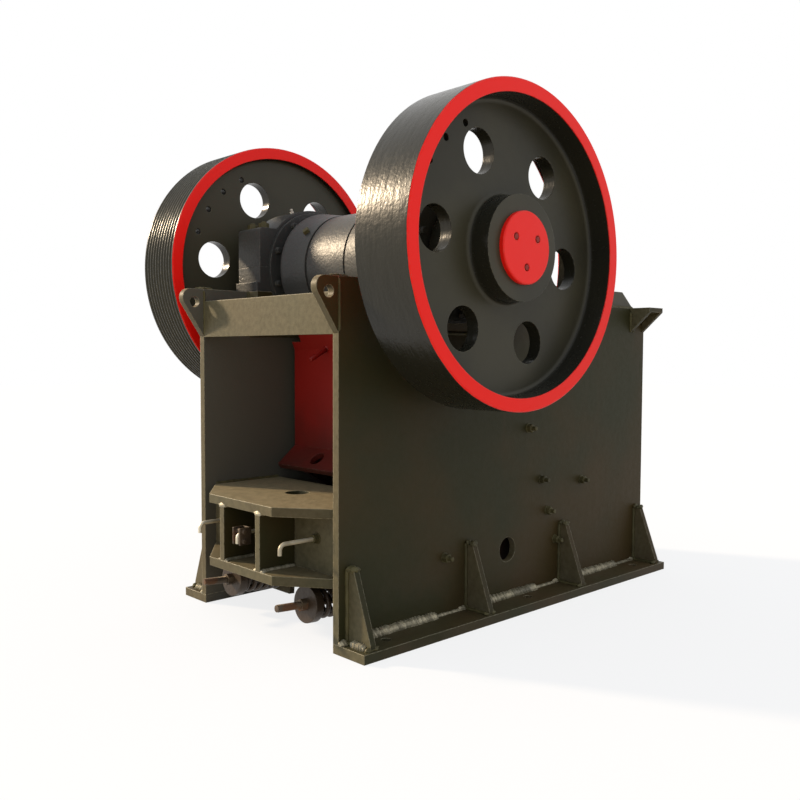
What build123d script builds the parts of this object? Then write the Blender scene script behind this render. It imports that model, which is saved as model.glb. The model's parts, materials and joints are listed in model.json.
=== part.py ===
from build123d import *
import math
import os

# Single-toggle jaw crusher with a feed opening of 900 x 600 mm. Sizes are in millimetres.
# +X points to the feed end, -Y to the flywheel side (the right-hand side), +Z up.
# The origin is the centre of the foundation holes, at floor level.
# A size named ..._X is measured from the rear edge of the side plates, and ..._Z from the floor.

# Side plates and feet
INSIDE_WIDTH = 990.0
SIDE_THICKNESS = 35.0
SIDE_TOP_Z = 1540.0
FEED_TOP_Z = 1495.0
FEED_STEP_MARGIN = 32.0
FEED_STEP_RUN = 90.0
PORT_X = 1072.0
PORT_Z = 273.0
PORT_DIAMETER = 120.0
FOOT_THICKNESS = 40.0
FOOT_REACH = 160.0
ANCHOR_INSET = 195.0
ANCHOR_REACH = 75.0
ANCHOR_DIAMETER = 42.0
GUSSET_COUNT = 4
GUSSET_INSET = 60.0
GUSSET_THICKNESS = 28.0
GUSSET_HEIGHT = 310.0
GUSSET_REACH = 145.0
GUSSET_TOP = 40.0
GUSSET_TOE = 25.0

# Lifting ears on the rear edges of the side plates
EAR_REACH = 112.0
EAR_DROP = 229.0
EAR_NOSE = 60.0
EAR_ROUND = 44.0
EAR_HOLE_DIAMETER = 50.0
EAR_HOLE_REACH = 49.0
EAR_HOLE_DROP = 64.0

# Cross plate over the rear window
CROSS_TOP_Z = 1480.0
CROSS_BOTTOM_Z = 1308.0
CROSS_THICKNESS = 35.0

# Rear box that takes the thrust of the toggle
SHELF_TOP_Z = 586.0
SHELF_THICKNESS = 40.0
SHELF_FRONT_X = 440.0
SHELF_HOLE_X = 190.0
SHELF_HOLE_DIAMETER = 110.0
BOX_FLOOR_TOP_Z = 295.0
BOX_FLOOR_THICKNESS = 40.0
BOX_FLOOR_FRONT_X = 345.0
BOX_OVERHANG = 127.0
BOX_SHOULDER = 250.0
BOX_RIB_THICKNESS = 32.0
BOX_RIB_INSET = 105.0
THRUST_WALL_X = 60.0
THRUST_WALL_THICKNESS = 50.0
SHIM_PACK = 40.0
SEAT_DEPTH = 180.0
SEAT_SIDE_GAP = 65.0
SEAT_HEIGHT = 240.0
HANDLE_DIAMETER = 18.0
HANDLE_SPACING = 315.0
HANDLE_Z = 440.0
HANDLE_LENGTH = 195.0
HANDLE_BEND = 45.0
HANDLE_BEND_RADIUS = 25.0

# Toggle plate
TOGGLE_REAR_Z = 430.0
TOGGLE_DROP = 45.0
TOGGLE_THICKNESS = 60.0
TOGGLE_SIDE_GAP = 95.0
TOGGLE_GROOVE_DEPTH = 18.0
TOGGLE_OPEN_GAP = 22.0

# Crushing chamber
FRONT_WALL_DEPTH = 455.0
FRONT_WALL_THICKNESS = 50.0
FRONT_WALL_BOTTOM_Z = 130.0
JAW_LEDGE_DEPTH = 60.0
JAW_LEDGE_HEIGHT = 60.0
JAW_LEDGE_DROP = 30.0
CHAMBER_TOP_Z = 1480.0
CHAMBER_BOTTOM_Z = 230.0
GAPE = 600.0
DISCHARGE = 110.0
JAW_THICKNESS = 100.0
FIXED_JAW_GAP = 5.0
SWING_JAW_GAP = 15.0
TOOTH_COUNT = 15
TOOTH_DEPTH = 34.0
TOOTH_CREST = 16.0
CHEEK_THICKNESS = 40.0
CHEEK_LAP = 45.0
CHEEK_SPLIT_GAP = 4.0
FRONT_RIB_DEPTH = 380.0
FRONT_RIB_THICKNESS = 35.0
FRONT_RIB_LEVELS = 4
FRONT_POST_COUNT = 2

# Ledges for the feed chute and guards over the side plates
LEDGE_LENGTH = 140.0
LEDGE_REACH = 120.0
LEDGE_THICKNESS = 25.0
LEDGE_GUSSET_HEIGHT = 110.0
LEDGE_GUSSET_THICKNESS = 20.0
GUARD_THICKNESS = 16.0
GUARD_HEIGHT = 88.0
GUARD_END_INSET = 90.0
GUARD_SLOPE_RUN = 110.0

# Eccentric shaft and its bearings
SHAFT_X = 618.0
SHAFT_SETBACK = 517.0
SHAFT_Z = 1664.0
THROW = 15.0
JOURNAL_DIAMETER = 260.0
WHEEL_SEAT_DIAMETER = 220.0
ECCENTRIC_DIAMETER = 330.0
HOUSING_LENGTH = 720.0
HOUSING_WIDTH = 190.0
HOUSING_FOOT = 45.0
HOUSING_WAIST = 686.0
HOUSING_SHOULDER = 195.0
HOUSING_CORNER = 20.0
HOUSING_CROWN = 620.0
HOUSING_BELLY = 600.0
COVER_DIAMETER = 590.0
COVER_THICKNESS = 22.0
BRACKET_HEIGHT = 215.0
BRACKET_TAPER = 60.0

# Flywheel and belt pulley
WHEEL_GAP = 162.0
FLYWHEEL_DIAMETER = 1350.0
PULLEY_DIAMETER = 1350.0
WHEEL_WIDTH = 290.0
RIM_THICKNESS = 58.0
RIM_CHAMFER = 4.0
WEB_THICKNESS = 60.0
PULLEY_WEB_SHIFT = 80.0
HUB_DIAMETER = 440.0
HUB_PROUD = 100.0
HUB_COVER_GAP = 12.0
WHEEL_FILLET = 22.0
WINDOW_COUNT = 6
WINDOW_DIAMETER = 185.0
WINDOW_CIRCLE = 834.0
WINDOW_START = -7.0
BALANCE_HOLES = 4
BALANCE_HOLE_DIAMETER = 30.0
BALANCE_CIRCLE = 1080.0
BALANCE_START = 117.0
BALANCE_STEP = 14.3
GROOVE_COUNT = 10
GROOVE_PITCH = 27.0
GROOVE_WIDTH = 21.0
GROOVE_DEPTH = 17.0
CAP_DIAMETER = 300.0
CAP_THICKNESS = 22.0
CAP_CHAMFER = 4.0
CAP_HOLES = 3
CAP_HOLE_CIRCLE = 160.0
CAP_HOLE_DIAMETER = 32.0
CAP_HOLE_DEPTH = 10.0
CAP_HOLE_START = 30.0

# Swing jaw
BARREL_DIAMETER = 536.0
BARREL_END_GAP = 43.5
BARREL_FLANGE_DIAMETER = 590.0
BARREL_FLANGE_WIDTH = 30.0
BARREL_CHAMFER = 18.0
BARREL_CONE_LENGTH = 150.0
BARREL_CONE_END = 540.0
BARREL_GROOVE_WIDTH = 14.0
BARREL_GROOVE_DEPTH = 8.0
BARREL_COVER_DIAMETER = 470.0
BARREL_COVER_THICKNESS = 22.0
SWING_BODY_GAP = 60.0
SWING_REAR_X = 500.0
SWING_SHOULDER_Z = 1250.0
SWING_SILL_Z = 640.0
SWING_BOTTOM_Z = 190.0
SWING_RIB_THICKNESS = 40.0
SWING_RIB_COUNT = 5
SWING_FACE_THICKNESS = 60.0
SWING_FACE_RISE = 110.0
ROOF_ANGLE = -15.0
ROOF_WRAP = 15.0
PANEL_ANGLE = -145.0
PANEL_WRAP = 10.0
SWING_PLATE_THICKNESS = 40.0
SWING_SEAT_X = 760.0
SWING_SEAT_HEIGHT = 190.0
SWING_SEAT_DEPTH = 80.0
SILL_TOP_Z = 752.0
SILL_REACH = 110.0
SILL_SLOPE = 39.0
SILL_THICKNESS = 30.0
SILL_HOLE_SPACING = 352.0
SILL_HOLE_DIAMETER = 80.0
BEARING_CLEARANCE = 35.0
WEDGE_HEIGHT = 85.0
WEDGE_THICKNESS = 70.0

# Tension rods that hold the swing jaw against the toggle
ROD_DIAMETER = 30.0
ROD_SIDE_GAP = 207.0
ROD_SLOPE = 4.0
ROD_PIN_X = 900.0
ROD_PIN_Z = 80.0
ROD_PIN_DIAMETER = 40.0
ROD_TAIL_X = -134.0
EYE_WIDTH = 45.0
EYE_WALL = 20.0
EYE_PLAY = 2.5
LUG_THICKNESS = 25.0
LUG_WIDTH = 100.0
LUG_PLAY = 6.0
SPRING_BRACKET_X = 320.0
SPRING_BRACKET_THICKNESS = 30.0
SPRING_BRACKET_WIDTH = 190.0
SPRING_BRACKET_DROP = 85.0
SPRING_LENGTH = 235.0
SPRING_DIAMETER = 140.0
SPRING_TURNS = 5.5
SPRING_WIRE = 22.0
SPRING_WASHER_DIAMETER = 160.0
SPRING_WASHER_THICKNESS = 40.0
ROD_NUT_SIZE = 46.0
ROD_NUT_HEIGHT = 30.0

# Gap between round parts that turn or slide in each other
RUNNING_FIT = 0.3

# Values worked out from the sizes above
FRAME_LENGTH = SHAFT_X + SHAFT_SETBACK + GAPE + JAW_THICKNESS + FRONT_WALL_DEPTH
REAR = -FRAME_LENGTH / 2
FRONT = FRAME_LENGTH / 2
INSIDE = INSIDE_WIDTH / 2
OUTSIDE = INSIDE + SIDE_THICKNESS
SHAFT = (REAR + SHAFT_X, SHAFT_Z)
BARREL = (REAR + SHAFT_X, SHAFT_Z - THROW)
HOUSING_MIDDLE = INSIDE + SIDE_THICKNESS / 2
HOUSING_Y = (-HOUSING_MIDDLE - HOUSING_WIDTH / 2, -HOUSING_MIDDLE + HOUSING_WIDTH / 2)
JOURNAL_BORE = JOURNAL_DIAMETER + 2 * RUNNING_FIT
BELLY_BORE = HOUSING_BELLY + 2 * RUNNING_FIT
BARREL_END = HOUSING_MIDDLE - HOUSING_WIDTH / 2 - COVER_THICKNESS - BARREL_END_GAP - BARREL_COVER_THICKNESS
BARREL_BORE = ECCENTRIC_DIAMETER + 2 * RUNNING_FIT
SEAT_HALF = INSIDE - SEAT_SIDE_GAP
TOGGLE_HALF = INSIDE - TOGGLE_SIDE_GAP
FIXED_JAW_HALF = INSIDE - CHEEK_THICKNESS - FIXED_JAW_GAP
SWING_JAW_HALF = INSIDE - CHEEK_THICKNESS - SWING_JAW_GAP
SWING_HALF = INSIDE - SWING_BODY_GAP
BOX_REAR_HALF = INSIDE - BOX_SHOULDER
ROD_Y = -INSIDE + ROD_SIDE_GAP
WHEEL_INNER = OUTSIDE + WHEEL_GAP
WHEEL_OUTER = WHEEL_INNER + WHEEL_WIDTH
WHEEL_MIDDLE = WHEEL_INNER + WHEEL_WIDTH / 2
HUB_OUTER = WHEEL_MIDDLE + WEB_THICKNESS / 2 + HUB_PROUD
COVER_OUTER = HOUSING_MIDDLE + HOUSING_WIDTH / 2 + COVER_THICKNESS
WALL_BACK = FRONT - FRONT_WALL_DEPTH
FIXED_FACE = WALL_BACK - JAW_THICKNESS
SWING_TOP = (FIXED_FACE - GAPE, CHAMBER_TOP_Z)
SWING_LEAN = math.degrees(math.atan2(GAPE - DISCHARGE, CHAMBER_TOP_Z - CHAMBER_BOTTOM_Z))
SWING_LENGTH = math.hypot(GAPE - DISCHARGE, CHAMBER_TOP_Z - CHAMBER_BOTTOM_Z)
SWING_SEAT = REAR + SWING_SEAT_X
SWING_BACK = JAW_THICKNESS + SWING_FACE_THICKNESS
JAW_FRAME = Pos(SWING_TOP[0], 0, SWING_TOP[1]) * Rot(0, -SWING_LEAN, 0)


def block(x, y, z):
    """Box between a low and a high value on each axis."""
    centre = Pos((x[0] + x[1]) / 2, (y[0] + y[1]) / 2, (z[0] + z[1]) / 2)
    return centre * Box(x[1] - x[0], y[1] - y[0], z[1] - z[0])


def plate_across(points, y):
    """Prism along Y of an outline given as (x, z) points."""
    outline = make_face(Polyline([(px, y[0], pz) for px, pz in points], close=True))
    return extrude(outline, y[1] - y[0], dir=(0, 1, 0))


def plate_flat(points, z):
    """Prism along Z of an outline given as (x, y) points."""
    outline = make_face(Polyline([(px, py, z[0]) for px, py in points], close=True))
    return extrude(outline, z[1] - z[0], dir=(0, 0, 1))


def round_across(diameter, place, y):
    """Cylinder along Y at an (x, z) place."""
    middle = Pos(place[0], (y[0] + y[1]) / 2, place[1])
    return middle * Rot(90, 0, 0) * Cylinder(diameter / 2, y[1] - y[0])


def other_side(part):
    """The same piece on the pulley side."""
    return mirror(part, about=Plane.XZ)


def both_sides(part):
    """A piece and its mirror image in one compound."""
    return Compound(children=[*part.solids(), *other_side(part).solids()])


def group(parts):
    """Separate solids that share one node."""
    return Compound(children=[solid for part in parts for solid in part.solids()])


def turned(points, place, soft_corners=(), radius=0.0):
    """Solid of revolution about the Y axis through place, from (radius, y) points."""
    profile = make_face(Polyline([(reach, y, 0) for reach, y in points], close=True))
    for at in soft_corners:
        corner = profile.vertices().sort_by_distance((*at, 0))[0]
        profile = fillet(corner, radius)
    return Pos(place[0], 0, place[1]) * revolve(profile, Axis.Y)


def side_plate():
    """Right side plate, with the saddle of the bearing, a step at the feed end and a round port."""
    step = REAR + SHAFT_X + HOUSING_LENGTH / 2 + FEED_STEP_MARGIN
    outline = [
        (REAR, FOOT_THICKNESS),
        (FRONT, FOOT_THICKNESS),
        (FRONT, FEED_TOP_Z),
        (step + FEED_STEP_RUN, FEED_TOP_Z),
        (step, SIDE_TOP_Z),
        (REAR, SIDE_TOP_Z),
    ]
    plate = plate_across(outline, (-OUTSIDE, -INSIDE))
    plate -= round_across(BELLY_BORE, SHAFT, (-OUTSIDE, -INSIDE))
    return plate - round_across(PORT_DIAMETER, (REAR + PORT_X, PORT_Z), (-OUTSIDE, -INSIDE))


def lifting_ear():
    """Ear welded to the rear edge of the right side plate."""
    nose = REAR - EAR_REACH
    outline = [
        (REAR, SIDE_TOP_Z),
        (nose, SIDE_TOP_Z),
        (nose, SIDE_TOP_Z - EAR_NOSE),
        (REAR, SIDE_TOP_Z - EAR_DROP),
    ]
    ear = plate_across(outline, (-OUTSIDE, -INSIDE))
    ear = fillet(ear.edges().filter_by(Axis.Y).group_by(Axis.X)[0], EAR_ROUND)
    hole = (REAR - EAR_HOLE_REACH, SIDE_TOP_Z - EAR_HOLE_DROP)
    return ear - round_across(EAR_HOLE_DIAMETER, hole, (-OUTSIDE, -INSIDE))


def foot():
    """Right foot, a flat bar under the side plate with three foundation holes."""
    bar = block((REAR, FRONT), (-OUTSIDE - FOOT_REACH, -INSIDE), (0, FOOT_THICKNESS))
    for step in (-1, 0, 1):
        place = Pos(step * (FRONT - ANCHOR_INSET), -OUTSIDE - ANCHOR_REACH, FOOT_THICKNESS / 2)
        bar -= place * Cylinder(ANCHOR_DIAMETER / 2, FOOT_THICKNESS)
    return bar


def foot_gussets():
    """Triangular gussets between the right foot and its side plate."""
    outline = [
        (-OUTSIDE, FOOT_THICKNESS),
        (-OUTSIDE, FOOT_THICKNESS + GUSSET_HEIGHT),
        (-OUTSIDE - GUSSET_TOP, FOOT_THICKNESS + GUSSET_HEIGHT),
        (-OUTSIDE - GUSSET_REACH, FOOT_THICKNESS + GUSSET_TOE),
        (-OUTSIDE - GUSSET_REACH, FOOT_THICKNESS),
    ]
    spacing = (FRAME_LENGTH - 2 * GUSSET_INSET) / (GUSSET_COUNT - 1)
    gussets = []
    for index in range(GUSSET_COUNT):
        start = REAR + GUSSET_INSET + index * spacing - GUSSET_THICKNESS / 2
        face = make_face(Polyline([(start, y, z) for y, z in outline], close=True))
        gussets.append(extrude(face, GUSSET_THICKNESS, dir=(1, 0, 0)))
    return group(gussets)


def rear_cross_plate():
    """Plate between the side plates above the rear window."""
    return block((REAR, REAR + CROSS_THICKNESS), (-INSIDE, INSIDE), (CROSS_BOTTOM_Z, CROSS_TOP_Z))


def box_outline(front):
    """Plan of the rear box: straight rear edge, slanted shoulders, straight sides."""
    right = [(REAR - BOX_OVERHANG, -BOX_REAR_HALF), (REAR + THRUST_WALL_X, -INSIDE), (front, -INSIDE)]
    left = [(x, -y) for x, y in reversed(right)]
    return [*right, *left]


def shelf():
    """Top plate of the rear box, with its round opening."""
    span = (SHELF_TOP_Z - SHELF_THICKNESS, SHELF_TOP_Z)
    plate = plate_flat(box_outline(REAR + SHELF_FRONT_X), span)
    hole = Pos(REAR + SHELF_HOLE_X, 0, SHELF_TOP_Z - SHELF_THICKNESS / 2)
    return plate - hole * Cylinder(SHELF_HOLE_DIAMETER / 2, SHELF_THICKNESS)


def box_floor():
    """Bottom plate of the rear box."""
    span = (BOX_FLOOR_TOP_Z - BOX_FLOOR_THICKNESS, BOX_FLOOR_TOP_Z)
    return plate_flat(box_outline(REAR + BOX_FLOOR_FRONT_X), span)


def box_ribs():
    """Upright ribs that split the open rear of the box into three cells."""
    middle = -BOX_REAR_HALF + BOX_RIB_INSET
    x = (REAR - BOX_OVERHANG, REAR + THRUST_WALL_X)
    y = (middle - BOX_RIB_THICKNESS / 2, middle + BOX_RIB_THICKNESS / 2)
    return both_sides(block(x, y, (BOX_FLOOR_TOP_Z, SHELF_TOP_Z - SHELF_THICKNESS)))


def thrust_wall():
    """Wall across the box that the toggle pushes on."""
    x = (REAR + THRUST_WALL_X, REAR + THRUST_WALL_X + THRUST_WALL_THICKNESS)
    return block(x, (-INSIDE, INSIDE), (BOX_FLOOR_TOP_Z, SHELF_TOP_Z - SHELF_THICKNESS))


def seat_front():
    """X of the front face of the toggle's seat block."""
    return REAR + THRUST_WALL_X + THRUST_WALL_THICKNESS + SHIM_PACK + SEAT_DEPTH


def shim_pack():
    """Shims between the thrust wall and the seat block, which set the discharge."""
    back = REAR + THRUST_WALL_X + THRUST_WALL_THICKNESS
    z = (BOX_FLOOR_TOP_Z, BOX_FLOOR_TOP_Z + SEAT_HEIGHT)
    return block((back, back + SHIM_PACK), (-SEAT_HALF, SEAT_HALF), z)


def groove_axis():
    """Place of the rear end of the toggle in its groove, as (x, z)."""
    return (seat_front() - TOGGLE_GROOVE_DEPTH + TOGGLE_THICKNESS / 2, TOGGLE_REAR_Z)


def toggle_seat():
    """Seat block with the round groove that holds the rear end of the toggle."""
    x = (seat_front() - SEAT_DEPTH, seat_front())
    y = (-SEAT_HALF, SEAT_HALF)
    body = block(x, y, (BOX_FLOOR_TOP_Z, BOX_FLOOR_TOP_Z + SEAT_HEIGHT))
    return body - round_across(TOGGLE_THICKNESS + 2 * RUNNING_FIT, groove_axis(), y)


def toggle_plate():
    """Toggle plate with rounded ends; its front end stays clear of the swing jaw."""
    rear = groove_axis()
    reach = SWING_SEAT - TOGGLE_OPEN_GAP - TOGGLE_THICKNESS / 2
    front = (reach, TOGGLE_REAR_Z - TOGGLE_DROP)
    y = (-TOGGLE_HALF, TOGGLE_HALF)
    length = math.hypot(front[0] - rear[0], front[1] - rear[1])
    slope = math.degrees(math.atan2(TOGGLE_DROP, front[0] - rear[0]))
    web = Pos(rear[0], 0, rear[1]) * Rot(0, slope, 0) * Pos(length / 2, 0, 0)
    plate = web * Box(length, 2 * TOGGLE_HALF, TOGGLE_THICKNESS)
    return plate + round_across(TOGGLE_THICKNESS, rear, y) + round_across(TOGGLE_THICKNESS, front, y)


def shim_handles():
    """Bent pull rods that stand out of the three cells of the rear box."""
    root = REAR + THRUST_WALL_X
    handles = []
    for middle in (-HANDLE_SPACING, 0, HANDLE_SPACING):
        tip = root - HANDLE_LENGTH
        points = [(root, middle, HANDLE_Z), (tip, middle, HANDLE_Z), (tip, middle, HANDLE_Z - HANDLE_BEND)]
        path = FilletPolyline(*points, radius=HANDLE_BEND_RADIUS)
        section = Plane(origin=points[0], z_dir=(-1, 0, 0)) * Circle(HANDLE_DIAMETER / 2)
        handles.append(sweep(section, path))
    return group(handles)


def front_wall():
    """Wall behind the fixed jaw plate, with the ledge that the plate stands on."""
    ledge_top = CHAMBER_BOTTOM_Z - JAW_LEDGE_DROP
    outline = [
        (WALL_BACK, FRONT_WALL_BOTTOM_Z),
        (WALL_BACK + FRONT_WALL_THICKNESS, FRONT_WALL_BOTTOM_Z),
        (WALL_BACK + FRONT_WALL_THICKNESS, CHAMBER_TOP_Z),
        (WALL_BACK, CHAMBER_TOP_Z),
        (WALL_BACK, ledge_top),
        (WALL_BACK - JAW_LEDGE_DEPTH, ledge_top),
        (WALL_BACK - JAW_LEDGE_DEPTH, ledge_top - JAW_LEDGE_HEIGHT),
    ]
    return plate_across(outline, (-INSIDE, INSIDE))


def front_levels():
    """Heights of the middles of the level ribs in front of the wall."""
    low = FRONT_WALL_BOTTOM_Z + FRONT_RIB_THICKNESS / 2
    high = CHAMBER_TOP_Z - FRONT_RIB_THICKNESS / 2
    step = (high - low) / (FRONT_RIB_LEVELS - 1)
    return [low + index * step for index in range(FRONT_RIB_LEVELS)]


def front_shelves():
    """Level ribs between the side plates in front of the wall."""
    x = (WALL_BACK + FRONT_WALL_THICKNESS, WALL_BACK + FRONT_WALL_THICKNESS + FRONT_RIB_DEPTH)
    half = FRONT_RIB_THICKNESS / 2
    return group([block(x, (-INSIDE, INSIDE), (z - half, z + half)) for z in front_levels()])


def front_posts():
    """Upright ribs between the level ribs."""
    x = (WALL_BACK + FRONT_WALL_THICKNESS, WALL_BACK + FRONT_WALL_THICKNESS + FRONT_RIB_DEPTH)
    half = FRONT_RIB_THICKNESS / 2
    levels = front_levels()
    posts = []
    bay = INSIDE_WIDTH / (FRONT_POST_COUNT + 1)
    for index in range(FRONT_POST_COUNT):
        middle = -INSIDE + (index + 1) * bay
        for low, high in zip(levels, levels[1:]):
            posts.append(block(x, (middle - half, middle + half), (low + half, high - half)))
    return group(posts)


def toothed_plate(half, length):
    """Jaw plate along -Z from the origin, with crests in the plane x = 0 and a flat back."""
    pitch = 2 * half / TOOTH_COUNT
    flank = (pitch - 2 * TOOTH_CREST) / 2
    points = [(-JAW_THICKNESS, -half)]
    for index in range(TOOTH_COUNT):
        start = -half + index * pitch
        points.append((-TOOTH_DEPTH, start))
        points.append((-TOOTH_DEPTH, start + TOOTH_CREST / 2))
        points.append((0, start + TOOTH_CREST / 2 + flank))
        points.append((0, start + TOOTH_CREST * 3 / 2 + flank))
        points.append((-TOOTH_DEPTH, start + TOOTH_CREST * 3 / 2 + 2 * flank))
    points.append((-TOOTH_DEPTH, half))
    points.append((-JAW_THICKNESS, half))
    return plate_flat(points, (-length, 0))


def fixed_jaw_plate():
    """Toothed plate on the front wall, standing on the wall's ledge."""
    bottom = CHAMBER_BOTTOM_Z - JAW_LEDGE_DROP
    plate = toothed_plate(FIXED_JAW_HALF, CHAMBER_TOP_Z - bottom)
    return Pos(FIXED_FACE, 0, CHAMBER_TOP_Z) * Rot(0, 0, 180) * plate


def cheek_plates():
    """Upper and lower wear plates on the inside of the right side plate."""
    slope = math.tan(math.radians(SWING_LEAN))
    middle = (CHAMBER_TOP_Z + CHAMBER_BOTTOM_Z) / 2
    front = FIXED_FACE + CHEEK_LAP
    plates = []
    for low, high in (
        (CHAMBER_BOTTOM_Z, middle - CHEEK_SPLIT_GAP / 2),
        (middle + CHEEK_SPLIT_GAP / 2, CHAMBER_TOP_Z),
    ):
        back_low = SWING_TOP[0] + (CHAMBER_TOP_Z - low) * slope - CHEEK_LAP
        back_high = SWING_TOP[0] + (CHAMBER_TOP_Z - high) * slope - CHEEK_LAP
        outline = [(back_low, low), (front, low), (front, high), (back_high, high)]
        plates.append(plate_across(outline, (-INSIDE, -INSIDE + CHEEK_THICKNESS)))
    return group(plates)


def feed_ledge():
    """Ledge outside the right side plate at the feed end, on two small gussets."""
    top = FEED_TOP_Z
    y = (-OUTSIDE - LEDGE_REACH, -OUTSIDE)
    ledge = block((FRONT - LEDGE_LENGTH, FRONT), y, (top - LEDGE_THICKNESS, top))
    under = top - LEDGE_THICKNESS
    for start in (FRONT - LEDGE_LENGTH, FRONT - LEDGE_GUSSET_THICKNESS):
        corners = [(y[0], under), (y[1], under), (y[1], under - LEDGE_GUSSET_HEIGHT)]
        face = make_face(Polyline([(start, py, pz) for py, pz in corners], close=True))
        ledge += extrude(face, LEDGE_GUSSET_THICKNESS, dir=(1, 0, 0))
    return ledge


def feed_guard():
    """Guard plate on top of the right side plate beside the feed opening."""
    start = REAR + SHAFT_X + HOUSING_LENGTH / 2 + FEED_STEP_MARGIN + FEED_STEP_RUN
    end = FRONT - GUARD_END_INSET
    outline = [
        (start, FEED_TOP_Z),
        (end, FEED_TOP_Z),
        (end - GUARD_SLOPE_RUN, FEED_TOP_Z + GUARD_HEIGHT),
        (start, FEED_TOP_Z + GUARD_HEIGHT),
    ]
    return plate_across(outline, (-INSIDE - GUARD_THICKNESS, -INSIDE))


def bearing_bracket():
    """Welded brackets on both faces of the right side plate that widen the bearing seat."""
    bottom = SIDE_TOP_Z - BRACKET_HEIGHT
    x = (SHAFT[0] - HOUSING_LENGTH / 2, SHAFT[0] + HOUSING_LENGTH / 2)
    brackets = []
    for face, edge in ((-OUTSIDE, HOUSING_Y[0]), (-INSIDE, HOUSING_Y[1])):
        corners = [(face, bottom), (face, SIDE_TOP_Z), (edge, SIDE_TOP_Z), (edge, bottom + BRACKET_TAPER)]
        outline = make_face(Polyline([(x[0], y, z) for y, z in corners], close=True))
        bracket = extrude(outline, x[1] - x[0], dir=(1, 0, 0))
        brackets.append(bracket - round_across(BELLY_BORE, SHAFT, sorted((face, edge))))
    return group(brackets)


def bearing_base():
    """Lower half of the right bearing housing, split at the shaft's axis."""
    foot_top = SIDE_TOP_Z + HOUSING_FOOT
    half, waist = HOUSING_LENGTH / 2, HOUSING_WAIST / 2
    outline = [
        (SHAFT[0] - half, SIDE_TOP_Z),
        (SHAFT[0] + half, SIDE_TOP_Z),
        (SHAFT[0] + half, foot_top),
        (SHAFT[0] + waist, foot_top),
        (SHAFT[0] + waist, SHAFT_Z),
        (SHAFT[0] - waist, SHAFT_Z),
        (SHAFT[0] - waist, foot_top),
        (SHAFT[0] - half, foot_top),
    ]
    below = block((REAR, FRONT), HOUSING_Y, (0, SHAFT_Z))
    belly = round_across(HOUSING_BELLY, SHAFT, HOUSING_Y) & below
    return plate_across(outline, HOUSING_Y) + belly - round_across(JOURNAL_BORE, SHAFT, HOUSING_Y)


def bearing_cap():
    """Upper half of the right bearing housing: a round crown between flat shoulders for the bolts."""
    waist = (SHAFT[0] - HOUSING_WAIST / 2, SHAFT[0] + HOUSING_WAIST / 2)
    shoulders = block(waist, HOUSING_Y, (SHAFT_Z, SHAFT_Z + HOUSING_SHOULDER))
    shoulders = fillet(shoulders.edges().filter_by(Axis.Y).group_by(Axis.Z)[-1], HOUSING_CORNER)
    above = block((REAR, FRONT), HOUSING_Y, (SHAFT_Z, SHAFT_Z + HOUSING_CROWN))
    crown = round_across(HOUSING_CROWN, SHAFT, HOUSING_Y) & above
    return shoulders + crown - round_across(JOURNAL_BORE, SHAFT, HOUSING_Y)


def bearing_covers():
    """Round covers on the inner and outer face of the right bearing housing."""
    outer, inner = HOUSING_Y
    covers = []
    for y in ((inner, inner + COVER_THICKNESS), (outer - COVER_THICKNESS, outer)):
        ring = round_across(COVER_DIAMETER, SHAFT, y)
        covers.append(ring - round_across(JOURNAL_BORE, SHAFT, y))
    return group(covers)


def eccentric_shaft():
    """Shaft with two journals, two wheel seats and an eccentric middle, lowest at rest."""
    middle = BARREL_END + BARREL_COVER_THICKNESS
    shaft = round_across(WHEEL_SEAT_DIAMETER, SHAFT, (-HUB_OUTER, HUB_OUTER))
    shaft += round_across(JOURNAL_DIAMETER, SHAFT, (-COVER_OUTER, COVER_OUTER))
    return shaft + round_across(ECCENTRIC_DIAMETER, BARREL, (-middle, middle))


def web_span(shift):
    """Low and high Y of a wheel's web, moved towards the machine by shift."""
    middle = -WHEEL_MIDDLE + shift
    return (middle - WEB_THICKNESS / 2, middle + WEB_THICKNESS / 2)


def wheel_profile(diameter, grooves, web):
    """Half section of a wheel as (radius, y) points, with the given grooves in its rim."""
    bore = WHEEL_SEAT_DIAMETER / 2 + RUNNING_FIT
    hub = HUB_DIAMETER / 2
    rim = diameter / 2 - RIM_THICKNESS
    edge = diameter / 2 - RIM_CHAMFER
    hub_inner = -COVER_OUTER - HUB_COVER_GAP
    inside = [(rim, -WHEEL_INNER), (rim, web[1]), (hub, web[1]), (hub, hub_inner), (bore, hub_inner)]
    outside = [(bore, -HUB_OUTER), (hub, -HUB_OUTER), (hub, web[0]), (rim, web[0]), (rim, -WHEEL_OUTER)]
    near = [(edge, -WHEEL_OUTER), (diameter / 2, -WHEEL_OUTER + RIM_CHAMFER)]
    far = [(diameter / 2, -WHEEL_INNER - RIM_CHAMFER), (edge, -WHEEL_INNER)]
    return [*inside, *outside, *near, *grooves, *far]


def wheel(diameter, grooves, shift):
    """Wheel on the right: turned blank, round windows and small balance holes in its web."""
    web = web_span(shift)
    roots = [(r, y) for r in (HUB_DIAMETER / 2, diameter / 2 - RIM_THICKNESS) for y in web]
    blank = turned(wheel_profile(diameter, grooves, web), SHAFT, roots, WHEEL_FILLET)
    for index in range(WINDOW_COUNT):
        angle = WINDOW_START + index * 360 / WINDOW_COUNT
        blank -= round_across(WINDOW_DIAMETER, on_circle(WINDOW_CIRCLE, angle), web)
    for index in range(BALANCE_HOLES):
        angle = BALANCE_START + index * BALANCE_STEP
        blank -= round_across(BALANCE_HOLE_DIAMETER, on_circle(BALANCE_CIRCLE, angle), web)
    return blank


def on_circle(diameter, angle):
    """Place on a circle about the shaft, as (x, z), from the +X side towards +Z."""
    turn = math.radians(angle)
    return (SHAFT[0] + diameter / 2 * math.cos(turn), SHAFT[1] + diameter / 2 * math.sin(turn))


def flywheel():
    """Flywheel with a plain rim and its web in the middle."""
    return wheel(FLYWHEEL_DIAMETER, [], 0)


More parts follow.
